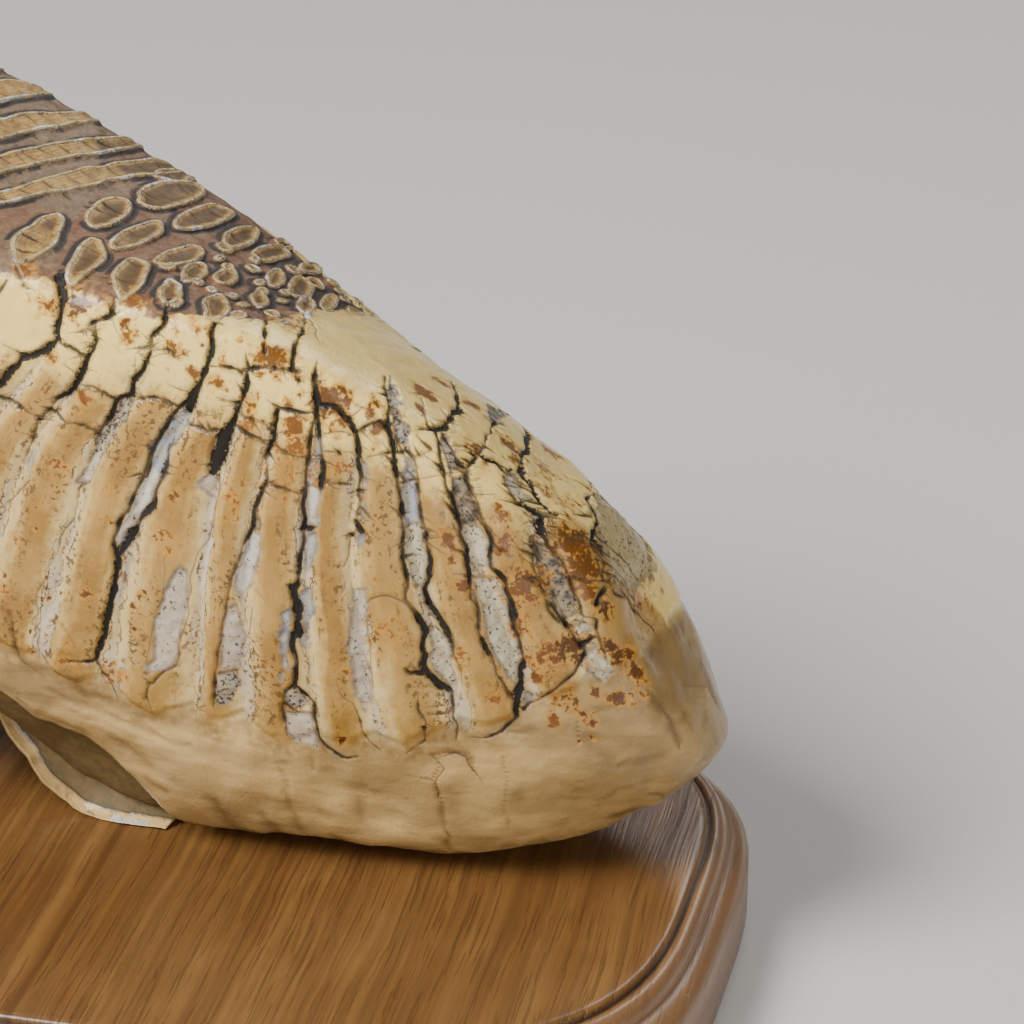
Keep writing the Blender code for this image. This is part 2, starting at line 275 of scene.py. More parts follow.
class SkinGrid:
    """A fine grid of points over the molar's plain form, and places on it."""

    def __init__(self, form: MolarForm, sheets: int) -> None:
        """Works the grid out.

        Args:
            form: the molar's plain form.
            sheets: number of sheets along the molar.
        """
        self.form = form
        first, last = form.end(-160.0), form.end(160.0)
        x_mid = self.even_sheets(first, last, sheets)[:, None]
        rays = np.radians(np.linspace(-90.0, 270.0, 241))[None, :]
        coarse = form.reach(x_mid, rays, np.zeros((sheets, 241)), np.full((sheets, 241), 130.0), 26)
        outline = form.on_ray(x_mid, rays, coarse)
        angles = self.spread(outline, rays[0])
        guess = np.array([np.interp(row, rays[0], known) for row, known in zip(angles, coarse)])
        radius = form.reach(x_mid, angles, np.maximum(guess - 1.5, 0.0), guess + 1.5, 15)
        self.points = form.on_ray(x_mid, angles, radius)
        self.plate = (x_mid[:, 0] - form.phase) / form.pitch
        self.angles = angles
        self.tips = [form.on_ray(np.array(x), np.array(0.0), np.array(0.0)) for x in (first, last)]
        self.normals = self.facing(self.points)
        self.rise = self.measured_rise()
        self.plate_length = self.measured_plate_length()

    def even_sheets(self, first: float, last: float, count: int) -> np.ndarray:
        """Along-places of sheets whose outlines lie evenly apart, closer at the low end."""
        t = 0.5 - 0.5 * np.cos(np.pi * np.linspace(0.0, 1.0, 260))
        trial = (first + 0.01 + (last - first - 0.02) * t)[:, None]
        rays = np.radians(np.arange(-90.0, 270.0, 15.0))[None, :]
        shape = (260, rays.size)
        radius = self.form.reach(trial, rays, np.zeros(shape), np.full(shape, 130.0), 24)
        gaps = np.linalg.norm(np.diff(self.form.on_ray(trial, rays, radius), axis=0), axis=-1)
        weight = np.where(trial[1:, 0] > 0.0, 1.0, 0.55)
        length = np.concatenate([[0.0], np.cumsum(gaps.mean(axis=1) * weight)])
        return np.interp(np.linspace(0.0, length[-1], count), length, trial[:, 0])

    def spread(self, outline: np.ndarray, rays: np.ndarray) -> np.ndarray:
        """Angles that divide each sector of each outline evenly by its length."""
        gaps = np.linalg.norm(np.diff(outline, axis=1), axis=-1)
        length = np.concatenate([np.zeros((len(outline), 1)), np.cumsum(gaps, axis=1)], axis=1)
        rows = []
        for marks in length:
            row = []
            for sector in SECTORS:
                ends = np.interp(np.radians([sector.start, sector.end]), rays, marks)
                row.append(np.linspace(*ends, sector.count, endpoint=False))
            rows.append(np.interp(np.concatenate(row), marks, rays))
        return np.array(rows)

    def facing(self, points: np.ndarray) -> np.ndarray:
        """Unit vectors that point out of a grid of points."""
        around = np.roll(points, -1, axis=1) - np.roll(points, 1, axis=1)
        along = np.gradient(points, axis=0)
        normal = np.cross(around, along)
        length = np.linalg.norm(normal, axis=-1, keepdims=True)
        return normal / np.maximum(length, 1e-12)

    def measured_rise(self) -> np.ndarray:
        """Length along each outline from the middle of the near side, upwards."""
        gaps = np.linalg.norm(np.diff(self.points, axis=1), axis=-1)
        length = np.concatenate([np.zeros((len(gaps), 1)), np.cumsum(gaps, axis=1)], axis=1)
        middle = sum(sector.count for sector in SECTORS[:4])
        return length[:, middle:middle + 1] - length

    def measured_plate_length(self) -> np.ndarray:
        """Millimetres of surface to one plate, square to the outlines."""
        around = np.roll(self.points, -1, axis=1) - np.roll(self.points, 1, axis=1)
        around /= np.maximum(np.linalg.norm(around, axis=-1, keepdims=True), 1e-9)
        along = np.gradient(self.points, axis=0) / np.gradient(self.plate)[:, None, None]
        return np.linalg.norm(np.cross(along, around), axis=-1)

    def rise_at(self, plate: float, degrees: float) -> float:
        """Rise of the place where a plate's outline meets a ray."""
        row = int(np.clip(np.searchsorted(self.plate, plate), 0, len(self.plate) - 1))
        return float(np.interp(math.radians(degrees), self.angles[row], self.rise[row]))

    def rise_across(self, plate: float, y: float) -> float:
        """Rise of the place on the top of a plate that lies at y across the molar."""
        row = int(np.clip(np.searchsorted(self.plate, plate), 0, len(self.plate) - 1))
        top = (self.angles[row] > math.radians(35.0)) & (self.angles[row] < math.radians(140.0))
        return float(np.interp(-y, -self.points[row, top, 1], self.rise[row, top]))

    def locate(self, plate: float, rise: float) -> tuple[int, int, np.ndarray]:
        """Grid indices and point nearest to a place.

        Args:
            plate: the place's plate.
            rise: the place's rise.

        Returns:
            Row, column, and the point between the rows and columns.
        """
        row = float(np.interp(plate, self.plate, np.arange(len(self.plate))))
        base = min(int(row), len(self.plate) - 2)
        found = []
        for index in (base, base + 1):
            column = float(np.interp(-rise, -self.rise[index], np.arange(self.rise.shape[1])))
            left = min(int(column), self.rise.shape[1] - 2)
            share = column - left
            found.append(self.points[index, left] * (1 - share) + self.points[index, left + 1] * share)
        share = row - base
        return int(round(row)), int(round(column)), found[0] * (1 - share) + found[1] * share


class Mineral(Enum):
    """What fills a gap between two plates: its colour and its share of dark grains."""

    CLEAR = (0.30, 0.34, 0.37, 0.24)
    MILK = (0.56, 0.52, 0.46, 0.26)
    ROSE = (0.52, 0.43, 0.34, 0.32)
    SPECKLED = (0.33, 0.29, 0.23, 0.60)
    CHARCOAL = (0.035, 0.034, 0.036, 0.50)
    CREAM = (0.54, 0.48, 0.33, 0.38)
    KNOB = (0.42, 0.32, 0.13, 0.40)


# Cracks of the near side, each as places: plate, rise and half width
CRACKS = (
    ((0.03, 56.2, 0.7), (0.39, 52, 0.8), (0.56, 47.7, 0.8), (0.7, 44.4, 0.8), (0.54, 41.7, 0.7),
     (0.25, 39.2, 0.7), (0.09, 35.6, 0.7), (0.02, 32.6, 0.7)),
    ((1.27, 54.5, 0.4), (1.48, 50.9, 0.5), (1.24, 49.2, 0.4), (1.12, 46.5, 0.1)),
    ((1.28, 48.8, 0.4), (1.45, 45.4, 0.45), (1.44, 41.8, 0.55), (1.44, 37.4, 0.5), (1.44, 35.7, 0.45),
     (1.16, 33.1, 0.35), (1.14, 30.3, 0.35), (1, 28.7, 0.35), (0.98, 24.1, 0.3), (0.91, 18.7, 0.15)),
    ((1.48, 50.9, 0.2), (1.73, 48.2, 0.15), (1.94, 46.9, 0.05)),
    ((0.77, 43.9, 0.4), (1.1, 43.2, 0.35), (1.39, 42.2, 0.4)),
    ((2.32, 56.8, 0.5), (2.62, 51, 0.55), (2.51, 47.9, 0.45), (2.63, 45.5, 0.4), (2.63, 41.5, 0.5),
     (2.53, 39.6, 0.5), (2.63, 36.7, 0.5), (2.34, 35.2, 0.5), (2.36, 32.2, 0.45), (2.18, 28.7, 0.45),
     (2.16, 26.5, 0.3)),
    ((1.49, 37, 0.3), (1.84, 36.4, 0.3), (2.34, 35.2, 0.4)),
    ((1.2, 30, 0.3), (1.47, 29.1, 0.25), (1.79, 29.1, 0.25), (2.12, 28.5, 0.3)),
    ((-0.04, 30.8, 0.3), (0.38, 30.1, 0.25), (1, 28.7, 0.3)),
    ((2.67, 36.3, 0.4), (3.03, 37.1, 0.3), (3.32, 36.8, 0.3), (3.62, 36.4, 0.3)),
    ((2.1, 44.9, 0.1), (2.61, 46, 0.3), (2.98, 46.3, 0.35), (3.32, 44.8, 0.1)),
    ((3.54, 54.7, 0.5), (3.88, 48.8, 0.6), (3.96, 44.8, 0.6), (3.94, 41.5, 0.6), (3.85, 38.5, 0.8),
     (3.82, 36.2, 0.7)),
    ((3.77, 37.8, 0.5), (3.57, 35.3, 0.35), (3.37, 29.3, 0.35), (3.33, 25.7, 0.3), (3.32, 21.5, 0.3)),
    ((3.34, 28.6, 0.35), (3.27, 21.6, 0.4), (3.17, 16.4, 0.4), (3.06, 11.5, 0.4), (3.01, 8.6, 0.35),
     (3.08, 6.5, 0.5), (3.15, 4.4, 0.75), (3.18, 1.2, 0.7), (3.14, -3.4, 0.8), (3.12, -7.7, 0.8),
     (3.14, -12.9, 0.6), (3.14, -17.3, 0.5)),
    ((3.65, 30.1, 0.35), (3.62, 26.6, 0.35), (3.66, 23, 0.4), (3.59, 19.3, 0.35), (3.61, 16.8, 0.8),
     (3.42, 13.6, 0.4), (3.25, 9.7, 0.9), (3.17, 6, 0.6)),
    ((3.14, -17.3, 0.45), (3.36, -21.5, 0.3), (3.56, -25.2, 0.2)),
    ((2.71, -19.1, 0.3), (3.11, -17.9, 0.4)),
    ((3.71, 67.3, 0.35), (5.12, 50.1, 0.3)),
    ((4.01, 44.8, 0.35), (4.45, 45.5, 0.35), (4.87, 45.7, 0.4), (4.99, 46.8, 0.4), (5.44, 47.8, 0.4),
     (5.89, 49, 0.45), (6.18, 49.1, 0.15)),
    ((4.73, 49.2, 0.2), (4.92, 46.3, 0.35)),
    ((4.87, 45.7, 0.4), (4.96, 43.7, 0.45), (4.94, 40.5, 0.4), (4.88, 37.5, 0.45), (4.78, 34.7, 0.8),
     (4.71, 32.2, 1.4), (4.63, 29, 1.4), (4.57, 26, 0.9)),
    ((4, 35.8, 0.2), (4.32, 36.1, 0.05)),
    ((4, 33.2, 0.3), (4.59, 33.8, 0.3)),
    ((4.93, 37.6, 0.25), (5.59, 38.2, 0.1)),
    ((4.46, 39.7, 0.1), (4.85, 39.6, 0.3)),
    ((3.22, 40.2, 0.1), (3.71, 39.6, 0.25)),
    ((-0.22, 40.9, 0.1), (0.22, 39.6, 0.3)),
    ((1.08, 40.2, 0.1), (1.43, 38.2, 0.3)),
    ((2.38, 43.7, 0.15), (2.59, 39.7, 0.35)),
    ((-0.74, 55.6, 0.35), (-0.17, 50.5, 0.1)),
    ((4.69, 26.1, 0.2), (4.78, 22.5, 0.15), (4.73, 18.3, 0.15), (4.72, 15.3, 0.2), (4.69, 13.4, 0.15),
     (4.53, 10.2, 0.12), (4.47, 6.6, 0.15), (4.46, 3.1, 0.15), (4.45, -0.8, 0.15), (4.43, -4.9, 0.15),
     (4.37, -9.2, 0.15), (4.35, -14, 0.25), (4.13, -17.1, 0.25), (4.01, -19.3, 0.3), (3.88, -18, 0.1)),
    ((4.01, -19.3, 0.3), (3.97, -22.8, 0.25), (4.11, -26.3, 0.2)),
    ((3.93, -6, 0.1), (3.88, -10.4, 0.15), (3.93, -14, 0.15), (3.85, -16.6, 0.1)),
    ((4.01, 8.2, 0.08), (4.02, 0.9, 0.08), (3.91, -6.8, 0.1)),
    ((1.17, 15.8, 0.25), (0.94, 11.6, 0.2), (0.85, 9.8, 0.15), (0.87, 8.2, 0.15), (0.77, 7.1, 0.15)),
    ((2.31, 18.8, 0.25), (2.11, 16.4, 0.2), (2.18, 13.7, 0.15), (2.17, 10.9, 0.2), (2.06, 6.6, 0.2),
     (2.07, 3.1, 0.15), (1.95, -1.5, 0.12), (1.9, -5.5, 0.15), (1.87, -7.8, 0.2), (1.97, -10.6, 0.2),
     (1.9, -13.1, 0.2), (2.07, -15, 0.2), (2.1, -17.4, 0.15)),
    ((1.53, -12.1, 0.15), (1.64, -16.4, 0.25), (1.81, -22.5, 0.25), (2.22, -24.5, 0.15)),
    ((2.34, 25.9, 0.15), (2.56, 24.1, 0.2), (2.89, 24, 0.1)),
    ((5.79, 40.9, 0.4), (5.73, 38, 0.5), (5.76, 35.5, 0.6), (5.6, 32.2, 0.3), (5.67, 28.1, 0.4),
     (5.58, 25.1, 0.4), (5.42, 21.3, 0.5), (5.41, 17.5, 0.4), (5.28, 13.7, 0.25), (5.21, 10.1, 0.3),
     (5.11, 4.5, 0.2), (5.04, -1.2, 0.25), (5.03, -4.5, 0.2)),
    ((5.03, -3.3, 0.2), (4.96, -10.2, 0.3), (4.93, -15.3, 0.3), (4.92, -20.6, 0.2)),
    ((5.53, 7, 0.1), (5.72, 5.9, 0.15), (5.75, 5.7, 0.05)),
    ((5.48, 3, 0.1), (5.44, -1.7, 0.15), (5.3, -6.6, 0.1)),
    ((4.01, 78, 0.3), (4.93, 64.6, 0.35), (5.53, 54.6, 0.35), (5.92, 49.2, 0.4)),
    ((4.48, 72.9, 0.25), (5.57, 61.7, 0.1)),
    ((6.06, 48.7, 0.3), (6.25, 46.8, 0.08)),
    ((5.48, 42.5, 0.1), (5.76, 41.5, 0.4), (6.1, 41.6, 0.45), (6.64, 43.3, 0.35)),
    ((6.46, 49.5, 0.4), (6.62, 45.5, 0.7), (6.67, 42.9, 0.5), (6.59, 40.1, 0.5), (6.51, 36, 0.35),
     (6.43, 30.8, 0.35), (6.38, 25.8, 0.35), (6.36, 20.8, 0.45), (6.3, 17.3, 0.5), (6.23, 12.1, 0.5),
     (6.16, 8.7, 0.45), (6.18, 5, 0.6), (6.2, 0, 0.6)),
    ((6.14, 9.6, 0.6), (6.22, 5.5, 0.7), (6.17, 1.2, 0.6), (6.08, -2, 0.5), (6.12, -5.5, 0.6),
     (6.08, -10.1, 0.5), (5.92, -13.3, 0.3), (5.91, -16.4, 0.3), (5.95, -19.5, 0.3),
     (5.96, -22.1, 0.2)),
    ((6.14, -10.3, 0.4), (6.32, -13.3, 0.4), (6.34, -18.6, 0.35), (6.43, -23.3, 0.4), (6.65, -24.7, 0.35),
     (6.83, -23, 0.15)),
    ((5.91, -14.7, 0.4), (6.08, -16, 0.2)),
    ((6.25, 53.6, 0.2), (6.55, 48.8, 0.4), (6.69, 45.4, 0.5)),
    ((6.67, 42.9, 0.4), (6.79, 36.4, 0.35), (6.79, 33.1, 0.5), (6.73, 29.6, 0.45)),
    ((6.36, 21.1, 0.6), (6.49, 21.6, 0.6), (6.61, 22.3, 0.3)),
    ((6.67, 45.1, 0.5), (7.11, 45.7, 0.35), (7.37, 44.5, 0.45), (7.49, 42.8, 0.5), (7.51, 39.6, 0.45),
     (7.51, 34.5, 0.35), (7.41, 31.2, 0.3), (7.35, 26.7, 0.3), (7.18, 22.7, 0.25), (7.11, 18.5, 0.2),
     (7.02, 16.5, 0.15)),
    ((7.3, 25.8, 0.5), (7.37, 24.6, 0.5)),
    ((7.48, 42.7, 0.4), (7.73, 44.9, 0.45), (7.93, 46.4, 0.45), (8.15, 47, 0.35)),
    ((7.37, 44.9, 0.35), (7.61, 48, 0.1)),
    ((6.82, 40.2, 0.25), (7.48, 42.8, 0.15)),
    ((6.79, 36.6, 0.25), (7.3, 38.5, 0.15)),
    ((6.77, 31.3, 0.35), (7.3, 32.8, 0.25)),
    ((5.71, 27.2, 0.3), (6.32, 27.6, 0.25)),
    ((4.93, 35.5, 0.35), (5.21, 34.9, 0.3), (5.69, 35.2, 0.2)),
    ((4.88, 37.6, 0.35), (5.56, 38.3, 0.12)),
    ((5.86, 34.9, 0.3), (6.08, 34.1, 0.25), (6.51, 35, 0.2)),
    ((5.77, 37.2, 0.2), (6.13, 38.3, 0.1)),
    ((4.08, 33.1, 0.25), (4.22, 33.6, 0.25), (4.65, 34.1, 0.35)),
    ((3.98, 36.2, 0.3), (4.35, 36.3, 0.1)),
    ((4.42, 39.7, 0.1), (4.83, 39.8, 0.35)),
    ((7.68, 39.4, 0.15), (8.09, 41.8, 0.3)),
    ((7.6, 35.2, 0.2), (7.81, 35.6, 0.08)),
    ((7.32, 60.2, 0.3), (8.04, 50.2, 0.4), (8.12, 47.6, 0.45), (8.18, 42.5, 0.45), (8.15, 37.2, 0.5),
     (8.13, 32.5, 0.45), (8.04, 27.2, 0.4), (7.95, 21.9, 0.35), (7.95, 18.5, 0.35), (7.87, 14.1, 0.35),
     (7.97, 10.8, 0.45), (8.04, 7.6, 0.45)),
    ((7.91, 16.4, 0.35), (7.86, 13.5, 0.4), (7.98, 9.9, 0.5), (8.01, 7.2, 0.45), (7.9, 3.5, 0.4),
     (7.88, -0.8, 0.8), (8, -3.6, 0.9), (8.1, -4.2, 0.4), (8.1, -8.5, 0.3), (8.09, -11.1, 0.25),
     (8.02, -14.9, 0.2)),
    ((7.61, -0.9, 0.3), (7.67, -1.9, 0.35), (7.89, -1.1, 0.5)),
    ((7.25, 10.2, 0.15), (7.37, 12.3, 0.2), (7.52, 13.3, 0.2), (7.71, 13.3, 0.25), (7.86, 13.2, 0.3)),
    ((7.23, 9.1, 0.15), (7.2, 5.8, 0.12), (7.18, 0.8, 0.12), (7.14, -6.9, 0.12)),
    ((6.68, -6.8, 0.1), (6.71, -10.1, 0.15), (6.86, -11.2, 0.15), (6.94, -14.4, 0.25),
     (6.95, -18.8, 0.25), (7.12, -20.9, 0.15)),
    ((7.73, -6.4, 0.2), (7.69, -10, 0.25), (7.73, -12.5, 0.3), (7.83, -12.2, 0.2)),
    ((7.73, -12.9, 0.3), (7.65, -16.3, 0.25), (7.44, -19.5, 0.15)),
    ((7.77, -8, 0.1), (7.97, -7.6, 0.25)),
    ((7.77, -9.7, 0.1), (7.97, -9.4, 0.25)),
    ((8.18, 45.9, 0.2), (8.34, 43.2, 0.25), (8.54, 43.2, 0.3), (8.5, 38.9, 0.3), (8.45, 34, 0.35),
     (8.41, 30.4, 0.4), (8.37, 23.5, 0.5), (8.17, 15.8, 0.6), (8.23, 11.5, 0.5), (8.37, 8.1, 0.5)),
    ((8.18, 16.8, 0.7), (8.18, 13.5, 0.7), (8.25, 9.7, 0.4), (8.34, 6.8, 0.35), (8.32, 2.5, 0.2),
     (8.31, -2.2, 0.1)),
    ((8.23, 37.3, 0.25), (8.52, 38.7, 0.25)),
    ((8.54, 43.2, 0.3), (8.83, 46.1, 0.1)),
    ((8.53, 39.1, 0.2), (8.91, 41.3, 0.15)),
    ((8.06, 60.4, 0.2), (8.62, 50.2, 0.3), (8.8, 49.6, 0.5), (8.77, 52.4, 0.4), (8.4, 65, 0.45)),
    ((8.63, 48.9, 0.3), (8.8, 49.8, 0.6), (8.76, 53.6, 0.45), (8.59, 58.5, 0.45), (8.34, 66.8, 0.7),
     (7.9, 74.5, 0.5), (7.2, 85.7, 0.3)),
    ((8.81, 49.4, 0.5), (8.93, 45.8, 0.4), (8.96, 41.7, 0.5), (8.97, 35.9, 0.4), (8.96, 31.3, 0.45),
     (8.95, 26.7, 0.4), (8.85, 21.2, 0.45), (8.81, 17.6, 0.4), (8.87, 16.3, 0.3), (8.75, 11, 0.3)),
    ((8.84, 19.4, 0.3), (8.83, 15.4, 0.35), (8.73, 9.9, 0.35), (8.8, 6, 0.4), (8.79, 1.8, 0.35),
     (8.85, -1.4, 0.4), (8.89, -5.1, 0.6)),
    ((8.84, 50.5, 0.25), (9.07, 47.2, 0.35), (9.2, 44.7, 0.4), (9.3, 44.4, 0.4), (9.3, 42, 0.3),
     (9.34, 39.2, 0.3), (9.32, 35.4, 0.3), (9.38, 33.5, 0.35), (9.38, 30.5, 0.35), (9.23, 25.4, 0.4),
     (9.31, 24.5, 0.45), (9.35, 23.1, 0.35), (9.28, 18.9, 0.3), (9.23, 15.2, 0.35), (9.21, 12.8, 0.4)),
    ((9.33, 21.5, 0.4), (9.29, 18.1, 0.45), (9.24, 12.8, 0.4), (9.23, 8.6, 0.4), (9.11, 3.1, 0.6),
     (8.95, -1.9, 0.9), (8.91, -5.1, 0.8)),
    ((8.22, -13.7, 0.15), (8.38, -13.3, 0.25), (8.59, -11.1, 0.35), (8.82, -7.5, 0.35),
     (8.89, -5.1, 0.5)),
    ((9.3, 44.4, 0.4), (9.35, 46.6, 0.3), (9.26, 51.2, 0.35), (9.38, 48.9, 0.4), (9.45, 50.2, 0.45),
     (9.61, 47.9, 0.4), (9.59, 51, 0.3)),
    ((9.29, 50.9, 0.35), (9.12, 57.7, 0.3), (8.73, 68.8, 0.3), (8.56, 74.3, 0.3)),
    ((7.99, 98, 0.5), (8.34, 92.2, 0.75), (9.05, 73, 0.7), (9.46, 58.6, 0.6)),
    ((9.53, 55.9, 0.9), (9.73, 50.5, 0.8), (9.89, 45.9, 0.9), (10.06, 41.8, 0.9), (10.18, 40.4, 0.3)),
    ((9.93, 40.1, 0.5), (9.98, 39.8, 0.7), (10.08, 39, 0.9), (10.08, 37.3, 1.1), (10.07, 35.6, 1.1)),
    ((9.64, 45.6, 0.25), (9.74, 42.6, 0.3), (9.89, 40.5, 0.3), (9.93, 39.8, 0.3)),
    ((9.93, 39.1, 0.2), (10.05, 38.1, 0.3), (10, 35.4, 0.3), (9.92, 33.4, 0.3), (9.83, 28.6, 0.3),
     (9.81, 24.3, 0.35), (9.76, 19.4, 0.35), (9.84, 16.6, 0.35)),
    ((10.09, 35.7, 0.5), (10.11, 32.7, 0.3), (10.19, 30.9, 0.25), (10.22, 25.9, 0.3),
     (10.16, 19.4, 0.3)),
    ((9.8, 23.4, 0.3), (9.87, 18.3, 0.35), (9.93, 16, 0.35), (9.99, 11.8, 0.4), (9.93, 8.6, 0.35),
     (9.71, 5, 0.3), (9.41, 1.1, 0.3), (9.16, -2.8, 0.3), (8.95, -5.3, 0.4)),
    ((9.13, 91.3, 0.3), (9.65, 75.2, 0.3), (10.18, 51.6, 0.45), (10.34, 42.8, 0.6), (10.46, 35, 0.35),
     (10.53, 29.2, 0.3), (10.55, 26.6, 0.2), (10.63, 24.2, 0.25), (10.67, 23.3, 0.25),
     (10.63, 33, 0.2)),
    ((10.22, 45, 0.2), (10.2, 50.6, 0.3)),
    ((10.17, 19.3, 0.3), (10.3, 19.4, 0.35), (10.25, 16.7, 0.4), (10.23, 13.3, 0.3),
     (10.22, 10.5, 0.2)),
    ((10.38, 22.7, 0.6), (10.48, 25.1, 0.4), (10.55, 27.8, 0.25)),
    ((10.02, 12.3, 0.5), (10.21, 14.6, 0.3)),
    ((7.75, -19.9, 0.15), (7.82, -22.1, 0.2), (7.69, -25.5, 0.2), (7.67, -30, 0.2)),
    ((7.78, -19.5, 0.1), (7.98, -18.3, 0.2), (8.13, -19.1, 0.25), (8.14, -21.9, 0.2),
     (8.24, -24.1, 0.05)),
)

